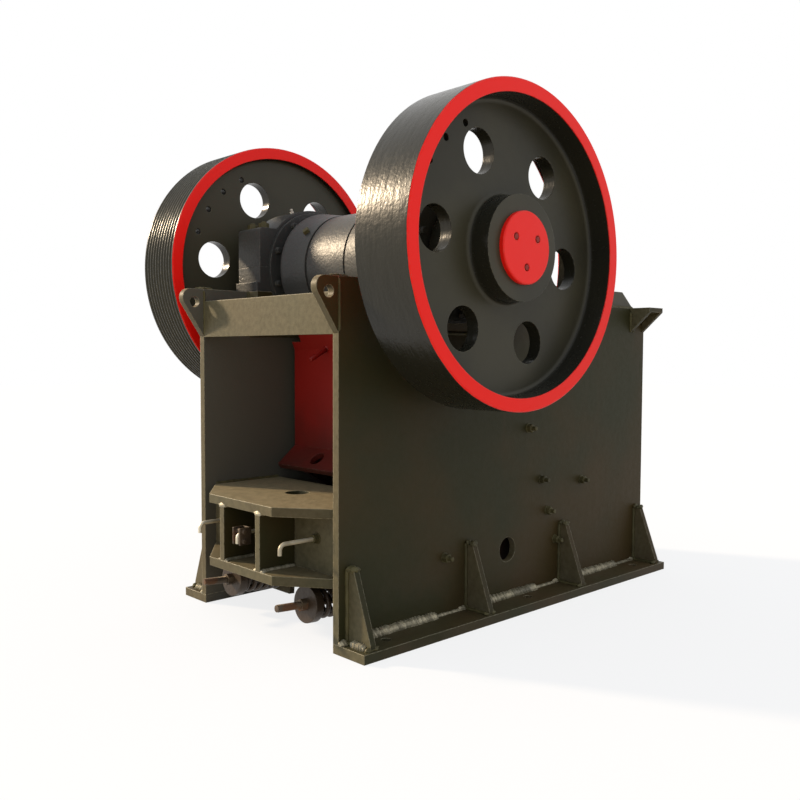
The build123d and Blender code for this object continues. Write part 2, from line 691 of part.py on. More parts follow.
def pulley():
    """Belt pulley with V-grooves and its web near the machine, made on the right and mirrored to the left."""
    radius = PULLEY_DIAMETER / 2
    points = []
    for index in range(GROOVE_COUNT):
        middle = -WHEEL_MIDDLE + (index - (GROOVE_COUNT - 1) / 2) * GROOVE_PITCH
        points.append((radius, middle - GROOVE_WIDTH / 2))
        points.append((radius - GROOVE_DEPTH, middle))
        points.append((radius, middle + GROOVE_WIDTH / 2))
    return other_side(wheel(PULLEY_DIAMETER, points, PULLEY_WEB_SHIFT))


def shaft_cap():
    """Round cap on the right end of the shaft, with counterbores for its bolts."""
    face = -HUB_OUTER - CAP_THICKNESS
    cap = round_across(CAP_DIAMETER, SHAFT, (face, -HUB_OUTER))
    cap = chamfer(cap.faces().sort_by(Axis.Y)[0].edges(), CAP_CHAMFER)
    for index in range(CAP_HOLES):
        place = on_circle(CAP_HOLE_CIRCLE, CAP_HOLE_START + index * 360 / CAP_HOLES)
        cap -= round_across(CAP_HOLE_DIAMETER, place, (face, face + CAP_HOLE_DEPTH))
    return cap


def pulley_cap():
    """Round cap on the pulley's end of the shaft."""
    return other_side(shaft_cap())


def on_jaw(depth, height):
    """World (x, z) of a point behind the swing jaw's crests by depth and above its top by height."""
    lean = math.radians(SWING_LEAN)
    x = SWING_TOP[0] - depth * math.cos(lean) - height * math.sin(lean)
    z = SWING_TOP[1] - depth * math.sin(lean) + height * math.cos(lean)
    return (x, z)


def on_barrel(angle):
    """World (x, z) of a point on the barrel's surface."""
    turn = math.radians(angle)
    radius = BARREL_DIAMETER / 2
    return (BARREL[0] + radius * math.cos(turn), BARREL[1] + radius * math.sin(turn))


def swing_barrel():
    """Barrel of the swing jaw, with a flange, a cone and a groove at each end, still without its bore."""
    flange = BARREL_FLANGE_DIAMETER / 2
    neck = BARREL_END - BARREL_FLANGE_WIDTH
    groove = neck - BARREL_CONE_LENGTH
    bed = BARREL_DIAMETER / 2 - BARREL_GROOVE_DEPTH
    half = [
        (flange - BARREL_CHAMFER, BARREL_END),
        (flange, BARREL_END - BARREL_CHAMFER),
        (flange, neck),
        (BARREL_CONE_END / 2, groove),
        (bed, groove),
        (bed, groove - BARREL_GROOVE_WIDTH),
        (BARREL_DIAMETER / 2, groove - BARREL_GROOVE_WIDTH),
    ]
    mirrored = [(r, -y) for r, y in reversed(half)]
    return turned([(0, BARREL_END), *half, *mirrored, (0, -BARREL_END)], BARREL)


def bearing_clearance():
    """Space round the right bearing that the body of the swing jaw keeps out of."""
    half = HOUSING_LENGTH / 2 + BEARING_CLEARANCE
    inner = HOUSING_Y[1] + COVER_THICKNESS + BEARING_CLEARANCE
    bottom = SIDE_TOP_Z - BRACKET_HEIGHT - BEARING_CLEARANCE
    return block((SHAFT[0] - half, SHAFT[0] + half), (-OUTSIDE, inner), (bottom, SHAFT_Z))


def swing_sill():
    """Sloped plate behind the back panel of the swing jaw, with two round holes."""
    frame = Pos(REAR + SWING_REAR_X, 0, SILL_TOP_Z) * Rot(0, -SILL_SLOPE, 0)
    length = SILL_REACH / math.cos(math.radians(SILL_SLOPE))
    plate = block((-length, 0), (-SWING_HALF, SWING_HALF), (-SILL_THICKNESS, 0))
    for middle in (-SILL_HOLE_SPACING / 2, SILL_HOLE_SPACING / 2):
        place = Pos(-length / 2, middle, -SILL_THICKNESS / 2)
        plate -= place * Cylinder(SILL_HOLE_DIAMETER / 2, SILL_THICKNESS)
    return frame * plate


def swing_jaw():
    """Swing jaw casting: barrel, sloped face, ribs, back panel, sill, toggle seat and bottom."""
    rear = REAR + SWING_REAR_X
    seat_top = TOGGLE_REAR_Z - TOGGLE_DROP + SWING_SEAT_HEIGHT / 2
    seat_bottom = seat_top - SWING_SEAT_HEIGHT
    width = (-SWING_HALF, SWING_HALF)
    top_back = on_jaw(SWING_BACK, SWING_FACE_RISE)
    low_back = on_jaw(SWING_BACK, -SWING_LENGTH)
    rib = [
        BARREL,
        on_barrel(PANEL_ANGLE),
        (rear, SWING_SHOULDER_Z),
        (rear, SWING_SILL_Z),
        (SWING_SEAT, seat_top),
        (SWING_SEAT, seat_bottom),
        (SWING_SEAT + SWING_PLATE_THICKNESS, SWING_BOTTOM_Z),
        (low_back[0], SWING_BOTTOM_Z),
        top_back,
        on_barrel(ROOF_ANGLE),
    ]
    body = swing_barrel()
    step = (2 * SWING_HALF - SWING_RIB_THICKNESS) / (SWING_RIB_COUNT - 1)
    for index in range(SWING_RIB_COUNT):
        start = -SWING_HALF + index * step
        body += plate_across(rib, (start, start + SWING_RIB_THICKNESS))
    body += JAW_FRAME * block((-SWING_BACK, -JAW_THICKNESS), width, (-SWING_LENGTH, SWING_FACE_RISE))
    roof_back = on_jaw(SWING_BACK, SWING_FACE_RISE - SWING_PLATE_THICKNESS)
    roof_front = on_barrel(ROOF_ANGLE)
    roof_inner = on_barrel(ROOF_ANGLE - ROOF_WRAP)
    body += plate_across([roof_front, top_back, roof_back, roof_inner], width)
    inner = rear + SWING_PLATE_THICKNESS
    panel = [
        (rear, SWING_SILL_Z),
        (rear, SWING_SHOULDER_Z),
        on_barrel(PANEL_ANGLE),
        on_barrel(PANEL_ANGLE + PANEL_WRAP),
        (inner, SWING_SHOULDER_Z),
        (inner, SWING_SILL_Z),
    ]
    body += plate_across(panel, width)
    body += swing_sill()
    shelf_z = (SWING_SILL_Z, SWING_SILL_Z + SWING_PLATE_THICKNESS)
    shelf_front = on_jaw(SWING_BACK, (SWING_SILL_Z - SWING_TOP[1]) / math.cos(math.radians(SWING_LEAN)))[0]
    body += block((rear, shelf_front), width, shelf_z)
    body += block((SWING_SEAT, SWING_SEAT + SWING_SEAT_DEPTH), width, (seat_bottom, seat_top))
    bottom_z = (SWING_BOTTOM_Z, SWING_BOTTOM_Z + SWING_PLATE_THICKNESS)
    body += block((SWING_SEAT + SWING_PLATE_THICKNESS, low_back[0]), width, bottom_z)
    body -= both_sides(bearing_clearance())
    return body - round_across(BARREL_BORE, BARREL, (-BARREL_END, BARREL_END))


def swing_jaw_plate():
    """Toothed plate on the face of the swing jaw."""
    return JAW_FRAME * toothed_plate(SWING_JAW_HALF, SWING_LENGTH)


def swing_jaw_wedge():
    """Bar that clamps the top edge of the swing jaw plate."""
    y = (-SWING_JAW_HALF, SWING_JAW_HALF)
    return JAW_FRAME * block((-JAW_THICKNESS, -JAW_THICKNESS + WEDGE_THICKNESS), y, (0, WEDGE_HEIGHT))


def barrel_covers():
    """Round covers on both ends of the barrel."""
    y = (-BARREL_END - BARREL_COVER_THICKNESS, -BARREL_END)
    ring = round_across(BARREL_COVER_DIAMETER, BARREL, y)
    return both_sides(ring - round_across(BARREL_BORE, BARREL, y))


def rod_lugs():
    """Lugs under the swing jaw, each pair with the pin that a tension rod hooks on."""
    pin = (REAR + ROD_PIN_X, ROD_PIN_Z)
    inner = EYE_WIDTH / 2 + LUG_PLAY
    outer = inner + LUG_THICKNESS
    lugs = round_across(ROD_PIN_DIAMETER, pin, (ROD_Y - outer, ROD_Y + outer))
    for y in ((ROD_Y - outer, ROD_Y - inner), (ROD_Y + inner, ROD_Y + outer)):
        x = (pin[0] - LUG_WIDTH / 2, pin[0] + LUG_WIDTH / 2)
        lugs += block(x, y, (ROD_PIN_Z, SWING_BOTTOM_Z)) + round_across(LUG_WIDTH, pin, y)
    return both_sides(lugs)


def rod_frame():
    """Frame of the right tension rod: origin at its eye, -X along the rod to the rear."""
    return Pos(REAR + ROD_PIN_X, ROD_Y, ROD_PIN_Z + THROW) * Rot(0, ROD_SLOPE, 0)


def along_rod(x):
    """Distance from the eye to the point of the rod at a given X from the rear edge."""
    return (ROD_PIN_X - x) / math.cos(math.radians(ROD_SLOPE))


def rod_round(diameter, start, end):
    """Cylinder round the rod's axis between two distances from the eye."""
    return Pos(-(start + end) / 2, 0, 0) * Rot(0, 90, 0) * Cylinder(diameter / 2, end - start)


def tension_rods():
    """Rods with a wide eye at the front, where the swing jaw's pin circles without touching."""
    hole = ROD_PIN_DIAMETER + 2 * (THROW + EYE_PLAY)
    eye = Rot(90, 0, 0) * Cylinder(hole / 2 + EYE_WALL, EYE_WIDTH)
    rod = eye + rod_round(ROD_DIAMETER, hole / 2 + EYE_WALL / 2, along_rod(ROD_TAIL_X))
    rod -= Rot(90, 0, 0) * Cylinder(hole / 2, EYE_WIDTH)
    return both_sides(rod_frame() * rod)


def spring_start():
    """Distance from the eye to the rear face of the spring bracket."""
    return along_rod(SPRING_BRACKET_X) + SPRING_BRACKET_THICKNESS


def rod_hole():
    """Clearance hole round the rod."""
    return ROD_DIAMETER + 2 * RUNNING_FIT


def spring_brackets():
    """Plates under the rear box that the springs push against."""
    start = along_rod(SPRING_BRACKET_X)
    end = start + SPRING_BRACKET_THICKNESS
    half = SPRING_BRACKET_WIDTH / 2
    plate = block((-end, -start), (-half, half), (-SPRING_BRACKET_DROP, BOX_FLOOR_TOP_Z))
    plate -= rod_round(rod_hole(), start, end)
    below = block((REAR, FRONT), (-INSIDE, 0), (0, BOX_FLOOR_TOP_Z - BOX_FLOOR_THICKNESS))
    return both_sides((rod_frame() * plate) & below)


def tension_springs():
    """Coil springs between the brackets and the washers."""
    height = SPRING_LENGTH - SPRING_WIRE
    coil = Helix(height / SPRING_TURNS, height, (SPRING_DIAMETER - SPRING_WIRE) / 2)
    section = Plane(origin=coil @ 0, z_dir=coil % 0) * Circle(SPRING_WIRE / 2)
    spring = sweep(section, coil, is_frenet=True)
    place = Pos(-spring_start() - SPRING_WIRE / 2, 0, 0) * Rot(0, -90, 0)
    return both_sides(rod_frame() * place * spring)


def spring_washers():
    """Thick washers behind the springs."""
    start = spring_start() + SPRING_LENGTH
    end = start + SPRING_WASHER_THICKNESS
    washer = rod_round(SPRING_WASHER_DIAMETER, start, end) - rod_round(rod_hole(), start, end)
    return both_sides(rod_frame() * washer)


def rod_nuts():
    """Hexagon nuts that hold the washers."""
    start = spring_start() + SPRING_LENGTH + SPRING_WASHER_THICKNESS
    hexagon = extrude(RegularPolygon(ROD_NUT_SIZE / 2, 6, major_radius=False), ROD_NUT_HEIGHT)
    nut = Pos(-start, 0, 0) * Rot(0, -90, 0) * hexagon
    nut -= rod_round(rod_hole(), start, start + ROD_NUT_HEIGHT)
    return both_sides(rod_frame() * nut)


PAIRED = {
    "side_plate": side_plate,
    "lifting_ear": lifting_ear,
    "foot": foot,
    "foot_gussets": foot_gussets,
    "cheek_plates": cheek_plates,
    "feed_ledge": feed_ledge,
    "feed_guard": feed_guard,
    "bearing_brackets": bearing_bracket,
    "bearing_base": bearing_base,
    "bearing_cap": bearing_cap,
    "bearing_covers": bearing_covers,
}
SINGLE = {
    "rear_cross_plate": rear_cross_plate,
    "shelf": shelf,
    "box_floor": box_floor,
    "box_ribs": box_ribs,
    "thrust_wall": thrust_wall,
    "shim_pack": shim_pack,
    "toggle_seat": toggle_seat,
    "toggle_plate": toggle_plate,
    "shim_handles": shim_handles,
    "front_wall": front_wall,
    "front_shelves": front_shelves,
    "front_posts": front_posts,
    "fixed_jaw_plate": fixed_jaw_plate,
    "eccentric_shaft": eccentric_shaft,
    "flywheel": flywheel,
    "flywheel_cap": shaft_cap,
    "pulley": pulley,
    "pulley_cap": pulley_cap,
    "swing_jaw": swing_jaw,
    "swing_jaw_plate": swing_jaw_plate,
    "swing_jaw_wedge": swing_jaw_wedge,
    "barrel_covers": barrel_covers,
    "rod_lugs": rod_lugs,
    "tension_rods": tension_rods,
    "spring_brackets": spring_brackets,
    "tension_springs": tension_springs,
    "spring_washers": spring_washers,
    "rod_nuts": rod_nuts,
}


def build():
    """Every node by name."""
    nodes = {name: make() for name, make in SINGLE.items()}
    for name, make in PAIRED.items():
        right = make()
        nodes[name + "_right"] = right
        nodes[name + "_left"] = other_side(right)
    return nodes


os.makedirs("parts", exist_ok=True)
for node, shape in build().items():
    export_step(shape, f"parts/{node}.step")
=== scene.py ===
"""Paint, welds, fasteners, light and camera for a single-toggle jaw crusher.

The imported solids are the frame. This script gives each of them its finish, adds the weld beads, bolts,
studs, grease nipples and screw threads, and sets the floor, the light and the camera. Lengths are in
metres.
"""
import json
import logging
import math
from dataclasses import dataclass
from enum import Enum
from functools import lru_cache
from typing import Any

import bmesh
import bpy
from mathutils import Matrix, Vector, noise


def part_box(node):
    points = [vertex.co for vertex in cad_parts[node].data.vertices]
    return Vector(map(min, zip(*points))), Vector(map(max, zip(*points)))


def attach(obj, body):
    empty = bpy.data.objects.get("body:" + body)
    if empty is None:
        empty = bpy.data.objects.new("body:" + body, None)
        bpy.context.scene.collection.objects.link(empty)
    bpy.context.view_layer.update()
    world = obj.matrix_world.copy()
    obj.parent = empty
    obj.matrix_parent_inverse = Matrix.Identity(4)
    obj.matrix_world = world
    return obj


LOG = logging.getLogger("crusher")
AHEAD = Vector((1.0, 0.0, 0.0))
INWARD = Vector((0.0, 1.0, 0.0))
UP = Vector((0.0, 0.0, 1.0))
Colour = tuple[float, float, float, float]
WHITE: Colour = (1.0, 1.0, 1.0, 1.0)


class Body(Enum):
    """Bodies that pieces ride on."""

    FRAME = "frame"
    ROTOR = "rotor"
    JAW = "jaw"


class Slot(Enum):
    """Material slots of the record."""

    FRAME_PAINT = "frame_paint"
    WHEEL_PAINT = "wheel_paint"
    RED_PAINT = "red_paint"
    CASTING_PAINT = "casting_paint"
    JAW_STEEL = "jaw_steel"
    BRIGHT_STEEL = "bright_steel"


def paint(code: str) -> Colour:
    """Turn a colour code into the linear colour that shaders use.

    Args:
        code: Six hexadecimal digits, as on a colour chart.

    Returns:
        Red, green, blue and alpha.
    """
    channels = [int(code[start:start + 2], 16) / 255 for start in (0, 2, 4)]
    linear = [c / 12.92 if c <= 0.04045 else ((c + 0.055) / 1.055) ** 2.4 for c in channels]
    return (linear[0], linear[1], linear[2], 1.0)


class Value:
    """An output socket whose operators add Math nodes."""

    def __init__(self, graph: "Graph", socket: bpy.types.NodeSocket) -> None:
        """Keep the graph that new nodes go into, and the output that this value stands for."""
        self.graph = graph
        self.socket = socket

    def math(self, operation: str, first: Any, second: Any) -> "Value":
        """Add one Math node on two numbers or values."""
        return self.graph.node("ShaderNodeMath", {"operation": operation}, {0: first, 1: second})

    def __add__(self, other: Any) -> "Value":
        """Sum."""
        return self.math("ADD", self, other)

    def __radd__(self, other: Any) -> "Value":
        """Sum with a number in front."""
        return self.math("ADD", other, self)

    def __sub__(self, other: Any) -> "Value":
        """Difference."""
        return self.math("SUBTRACT", self, other)

    def __rsub__(self, other: Any) -> "Value":
        """Difference with a number in front."""
        return self.math("SUBTRACT", other, self)

    def __mul__(self, other: Any) -> "Value":
        """Product."""
        return self.math("MULTIPLY", self, other)

    def __rmul__(self, other: Any) -> "Value":
        """Product with a number in front."""
        return self.math("MULTIPLY", other, self)

    def __abs__(self) -> "Value":
        """Size without sign."""
        return self.math("ABSOLUTE", self, 0.0)

    def __or__(self, other: Any) -> "Value":
        """Larger of two masks."""
        return self.math("MAXIMUM", self, other)


class Graph:
    """A node tree that is filled by expressions."""

    def __init__(self, tree: bpy.types.NodeTree) -> None:
        """Empty the tree of a material or of the world, and keep it."""
        self.tree = tree
        self.tree.nodes.clear()

    def node(self, kind: str, settings: dict[str, Any] | None = None, inputs: dict[Any, Any] | None = None,
             output: int | str = 0) -> Value:
        """Add a node of any kind.

        Args:
            kind: Blender's name of the node type.
            settings: Properties of the node, set before its sockets.
            inputs: Numbers, colours, colour codes or values by socket name or number.
            output: Output to hand back.

        Returns:
            The chosen output.
        """
        made = self.tree.nodes.new(kind)
        for name, setting in (settings or {}).items():
            setattr(made, name, setting)
        for name, given in (inputs or {}).items():
            if isinstance(given, Value):
                self.tree.links.new(given.socket, made.inputs[name])
            else:
                made.inputs[name].default_value = paint(given) if isinstance(given, str) else given
        return Value(self, made.outputs[output] if made.outputs else None)

    def place(self) -> Value:
        """Point on the piece, in the frame's metres."""
        return self.node("ShaderNodeTexCoord", output="Object")

    def height(self) -> Value:
        """Height of the point above the floor at rest."""
        return self.node("ShaderNodeSeparateXYZ", inputs={0: self.place()}, output=2)

    def across(self) -> Value:
        """Distance of the point from the machine's middle plane."""
        return abs(self.node("ShaderNodeSeparateXYZ", inputs={0: self.place()}, output=1))

    def noise(self, scale: float, detail: float = 3.0, stretch: Vector = Vector((1.0, 1.0, 1.0))) -> Value:
        """Clouds from 0 to 1, by their number in a metre, their finer layers and their stretch."""
        point = self.node("ShaderNodeMapping", inputs={"Vector": self.place(), "Scale": stretch})
        return self.node("ShaderNodeTexNoise", inputs={"Vector": point, "Scale": scale, "Detail": detail})

    def pebbles(self, scale: float) -> Value:
        """Rounded bumps that lie side by side, as on a sand casting."""
        inputs = {"Vector": self.place(), "Scale": scale}
        return self.node("ShaderNodeTexVoronoi", {"feature": "SMOOTH_F1"}, inputs)

    def band(self, value: Value, low: float, high: float) -> Value:
        """Soft step from 0 at low to 1 at high."""
        settings = {"interpolation_type": "SMOOTHSTEP"}
        return self.node("ShaderNodeMapRange", settings, {0: value, 1: low, 2: high})

    def blend(self, factor: Any, first: Any, second: Any) -> Value:
        """Colour between two colours."""
        return self.node("ShaderNodeMix", {"data_type": "RGBA"}, {0: factor, 6: first, 7: second}, 2)

    def vector(self, operation: str, first: Any, second: Any = (0.0, 0.0, 0.0), output: int = 0) -> Value:
        """One Vector Math node; its output 1 is a number."""
        return self.node("ShaderNodeVectorMath", {"operation": operation}, {0: first, 1: second}, output)

    def facing(self, direction: Vector) -> Value:
        """How far the surface faces a direction, from -1 to 1."""
        normal = self.node("ShaderNodeTexCoord", output="Normal")
        return self.vector("DOT_PRODUCT", normal, direction, 1)

    def reach(self, centre: Vector) -> Value:
        """Measure from an axis along Y.

        Args:
            centre: Point on the axis.

        Returns:
            Distance of the surface from the axis.
        """
        offset = self.vector("SUBTRACT", self.place(), centre)
        flat = self.vector("MULTIPLY", offset, AHEAD + UP)
        return self.vector("LENGTH", flat, output=1)

    def soft_edge(self, radius: float) -> tuple[Value, Value]:
        """Round the sharp edges of a surface in its shading.

        Args:
            radius: Radius of the rounded edge.

        Returns:
            The rounded normal, and a mask that is 1 along the edges.
        """
        rounded = self.node("ShaderNodeBevel", {"samples": 4}, {"Radius": radius})
        plain = self.node("ShaderNodeNewGeometry", output="Normal")
        along = self.vector("DOT_PRODUCT", rounded, plain, 1)
        return rounded, self.band(1.0 - along, 0.02, 0.2)

    def bump(self, height: Value, depth: float, normal: Value) -> Value:
        """Relief of a given depth on a normal."""
        return self.node("ShaderNodeBump", inputs={"Height": height, "Distance": depth, "Normal": normal})

    def surface(self, inputs: dict[str, Any]) -> None:
        """End the tree in a Principled surface with these numbers, colours or values on its sockets."""
        shader = self.node("ShaderNodeBsdfPrincipled", inputs=inputs)
        self.node("ShaderNodeOutputMaterial", inputs={"Surface": shader})


@dataclass(frozen=True)
class Finish:
    """A finish with a name; each kind of finish fills its own graph."""

    name: str
    slot: Slot

    @lru_cache(maxsize=None)
    def material(self) -> bpy.types.Material:
        """Make the material at first use.

        Returns:
            The material.
        """
        made = bpy.data.materials.new(self.name)
        made.use_nodes = True
        self.fill(Graph(made.node_tree))
        return made

    def fill(self, graph: Graph) -> None:
        """Fill the graph of the material."""
        raise NotImplementedError


@dataclass(frozen=True)
class PlatePaint(Finish):
    """Semi-gloss paint on rolled plate: dusty on top, splashed low down, bright along its edges, with
    painted light on its rear faces.
    """

    deep: str = "2e2e1a"
    mild: str = "3c311a"
    dust: str = "988b6d"
    # painted light: paler colour for the rear-facing faces, which face the key lamp
    painted_rear_light: str = "767059"
    soil: str = "443524"
    worn: str = "aaa38a"
    inside: str = "55534a"
    wall_inner: float = 0.495
    wall_outer: float = 0.530
    fade: float = 0.005
    splash_top: float = 0.5
    gloss: float = 0.40
    edge_gloss: float = 0.14
    specular: float = 0.16
    edge: float = 0.006
    peel_depth: float = 0.0006

    def fill(self, graph: Graph) -> None:
        """Fill the graph of the material.

        Args:
            graph: Graph of the material, still empty.
        """
        normal, edge = graph.soft_edge(self.edge)
        grain = graph.noise(42.0, 6.0)
        clouds = graph.band(graph.noise(1.3, 4.0), 0.36, 0.64)
        colour = graph.blend(clouds, self.deep, self.mild)
        runs = graph.band(graph.noise(8.0, 5.0, Vector((1.0, 1.0, 0.1))), 0.55, 0.8)
        colour = graph.blend(runs * 0.3, colour, self.soil)
        colour = graph.blend(self.inside_mask(graph), colour, self.inside)
        # Painted light: rear-facing faces, lit by the key lamp, are made paler.
        painted_rear_light = graph.band(graph.facing(-AHEAD), 0.6, 0.95) * (0.15 + 0.6 * grain)
        colour = graph.blend(painted_rear_light, colour, self.painted_rear_light)
        aloft = graph.band(graph.height(), -0.1, 0.6)
        settled = graph.band(graph.facing(UP), 0.5, 0.95) * aloft * (0.25 + 0.7 * grain)
        colour = graph.blend(settled, colour, self.dust)
        low_down = 1.0 - graph.band(graph.height(), 0.02, self.splash_top)
        splash = low_down * graph.band(graph.noise(6.0, 6.0), 0.4, 0.7)
        colour = graph.blend(splash * 0.4, colour, self.soil)
        chips = edge * graph.band(graph.noise(55.0, 4.0), 0.25, 0.55)
        colour = graph.blend(chips * 0.8, colour, self.worn)
        relief = graph.noise(160.0, 3.0) + 1.5 * graph.noise(24.0, 3.0)
        graph.surface({
            "Base Color": colour,
            "Roughness": self.gloss + 0.2 * grain + 0.2 * settled - self.edge_gloss * edge,
            "Specular IOR Level": self.specular,
            "Normal": graph.bump(relief, self.peel_depth, normal),
        })

    def inside_mask(self, graph: Graph) -> Value:
        """Find the inner faces of the side walls, which wear a paler primer.

        Args:
            graph: Graph of the material.

        Returns:
            Mask that is 1 on those faces.
        """
        across = graph.across()
        middle = (self.wall_inner + self.wall_outer) / 2
        near = graph.band(across, self.wall_inner - 2 * self.fade, self.wall_inner - self.fade)
        inner = 1.0 - graph.band(across, middle, middle + self.fade)
        return near * inner * graph.band(abs(graph.facing(INWARD)), 0.8, 0.9)


@dataclass(frozen=True)
class CastPaint(Finish):
    """Glossy paint on a sand casting, with an accent colour where a mask asks for it."""

    body: str = "353635"
    mild: str = "40413e"
    skin: str = "191a17"
    skin_share: float = 0.0
    accent: str = "f9170c"
    worn: str = "8e8873"
    gloss: float = 0.34
    smooth_dulling: float = 0.14
    specular: float = 0.32
    edge: float = 0.006
    relief_depth: float = 0.0009
    centre: tuple[float, float, float] = (0.0, 0.0, 0.0)
    accent_from: float = 0.0
    accent_share: float = 0.0

    def accent_mask(self, graph: Graph) -> Any:
        """Share of the accent colour, here the same all over."""
        return self.accent_share

    def accent_colour(self, graph: Graph) -> Any:
        """The accent colour itself."""
        return self.accent

    def rough_mask(self, graph: Graph) -> Any:
        """Where the skin of the mould was left."""
        return 1.0

    def relief(self, graph: Graph) -> Value:
        """Height of the skin that the mould left."""
        return graph.pebbles(75.0) + graph.noise(110.0, 4.0) + 1.2 * graph.noise(26.0, 4.0)

    def fill(self, graph: Graph) -> None:
        """Fill the graph of the material.

        Args:
            graph: Graph of the material, still empty.
        """
        normal, edge = graph.soft_edge(self.edge)
        accent = self.accent_mask(graph)
        rough = self.rough_mask(graph)
        grain = graph.noise(48.0, 6.0)
        clouds = graph.band(graph.noise(2.2, 4.0), 0.35, 0.65)
        colour = graph.blend(clouds, self.body, self.mild)
        colour = graph.blend(rough * self.skin_share, colour, self.skin)
        colour = graph.blend(accent, colour, self.accent_colour(graph))
        chips = edge * graph.band(graph.noise(60.0, 4.0), 0.45, 0.65)
        colour = graph.blend(chips * 0.5, colour, self.worn)
        height = self.relief(graph) * (0.12 + 0.88 * rough) * (1.0 - 0.85 * accent)
        graph.surface({
            "Base Color": colour,
            "Roughness": self.gloss + 0.16 * grain + self.smooth_dulling * (1.0 - rough),
            "Specular IOR Level": self.specular,
            "Normal": graph.bump(height, self.relief_depth, normal),
        })


@dataclass(frozen=True)
class WheelPaint(CastPaint):
    """Dark wheel with turned sides, red rim faces and a rim that is streaked along its way round."""

    face_inner: float = 0.0
    face_outer: float = 0.0
    brush_wobble: float = 0.004
    fade: float = 0.001
    streaks: float = 26.0

    def accent_mask(self, graph: Graph) -> Value:
        """Find the rim faces outside the accent radius.

        Args:
            graph: Graph of the material.

        Returns:
            Mask that is 1 on those faces.
        """
        wobble = self.brush_wobble * graph.noise(14.0, 2.0)
        radius = graph.reach(Vector(self.centre)) + wobble
        ring = graph.band(radius, self.accent_from, self.accent_from + 2 * self.fade)
        across = graph.across()
        outer = graph.band(across + wobble, self.face_outer - 2 * self.fade, self.face_outer - self.fade)
        inner = graph.band(across - wobble, self.face_inner + self.fade, self.face_inner + 2 * self.fade)
        return ring * (outer | (1.0 - inner))

    def rough_mask(self, graph: Graph) -> Value:
        """Everything that doesn't face along the shaft."""
        return 1.0 - graph.band(abs(graph.facing(INWARD)), 0.5, 0.85)

    def relief(self, graph: Graph) -> Value:
        """Height of a finer skin, with streaks round the rim."""
        streaks = graph.noise(self.streaks, 4.0, Vector((0.3, 1.4, 0.3)))
        return 0.5 * super().relief(graph) + 1.8 * streaks


@dataclass(frozen=True)
class JawPaint(CastPaint):
    """Dark barrel on a red body that turns dark brown towards its foot."""

    # dark brown that the red turns to lower down
    grime: str = "2a1d16"
    foot_dark_low: float = 0.60
    foot_dark_high: float = 1.25
    fade: float = 0.01

    def accent_mask(self, graph: Graph) -> Value:
        """Everything away from the barrel."""
        radius = graph.reach(Vector(self.centre))
        return graph.band(radius, self.accent_from, self.accent_from + self.fade)

    def accent_colour(self, graph: Graph) -> Value:
        """Let the red give way to a dark brown near the discharge.

        Args:
            graph: Graph of the material.

        Returns:
            The colour.
        """
        # Darker towards the foot: the red turns dark brown below a ragged height.
        ragged = graph.height() + 0.25 * graph.noise(7.0, 5.0)
        grime = 1.0 - graph.band(ragged, self.foot_dark_low, self.foot_dark_high)
        return graph.blend(grime, self.accent, self.grime)


@dataclass(frozen=True)
class BareSteel(Finish):
    """Bare metal with grime and rust."""

    metal: str = "b4aea2"
    grime: str = "4c443a"
    rust: str = "6e4528"
    rust_share: float = 0.3
    gloss: float = 0.32
    metallic: float = 0.9
    specular: float = 0.5
    edge: float = 0.002
    relief_depth: float = 0.0008

    def fill(self, graph: Graph) -> None:
        """Fill the graph of the material.

        Args:
            graph: Graph of the material, still empty.
        """
        normal, edge = graph.soft_edge(self.edge)
        grain = graph.noise(70.0, 6.0)
        stains = graph.band(graph.noise(9.0, 6.0), 0.42, 0.68)
        rust = graph.band(graph.noise(16.0, 8.0), 1.0 - self.rust_share, 1.1 - self.rust_share)
        colour = graph.blend(stains * 0.7, self.metal, self.grime)
        colour = graph.blend(rust, colour, self.rust)
        colour = graph.blend(edge * 0.5, colour, self.metal)
        graph.surface({
            "Base Color": colour,
            "Metallic": self.metallic * (1.0 - rust) if self.metallic else 0.0,
            "Roughness": self.gloss + 0.25 * grain + 0.3 * rust,
            "Specular IOR Level": self.specular,
            "Normal": graph.bump(grain + graph.noise(18.0, 4.0), self.relief_depth, normal),
        })


@dataclass(frozen=True)
class WeldMetal(Finish):
    """Weld beads, bright on their crests and partly under paint."""

    bead: str = "b3aa8f"
    painted: str = "4a4636"
    gloss: float = 0.36
    metallic: float = 0.3
    specular: float = 0.5
    relief_depth: float = 0.0006

    def fill(self, graph: Graph) -> None:
        """Fill the graph of the material.

        Args:
            graph: Graph of the material, still empty.
        """
        normal = graph.node("ShaderNodeNewGeometry", output="Normal")
        cover = graph.band(graph.noise(3.0, 5.0), 0.45, 0.62)
        grain = graph.noise(120.0, 5.0)
        colour = graph.blend(cover * 0.6, self.bead, self.painted)
        ripples = graph.band(graph.noise(75.0, 2.0, Vector((1.0, 0.15, 0.15))), 0.42, 0.6)
        colour = graph.blend(ripples * 0.55, colour, self.painted)
        graph.surface({
            "Base Color": colour,
            "Metallic": self.metallic * (1.0 - cover) if self.metallic else 0.0,
            "Roughness": self.gloss + 0.2 * grain,
            "Specular IOR Level": self.specular,
            "Normal": graph.bump(grain, self.relief_depth, normal),
        })


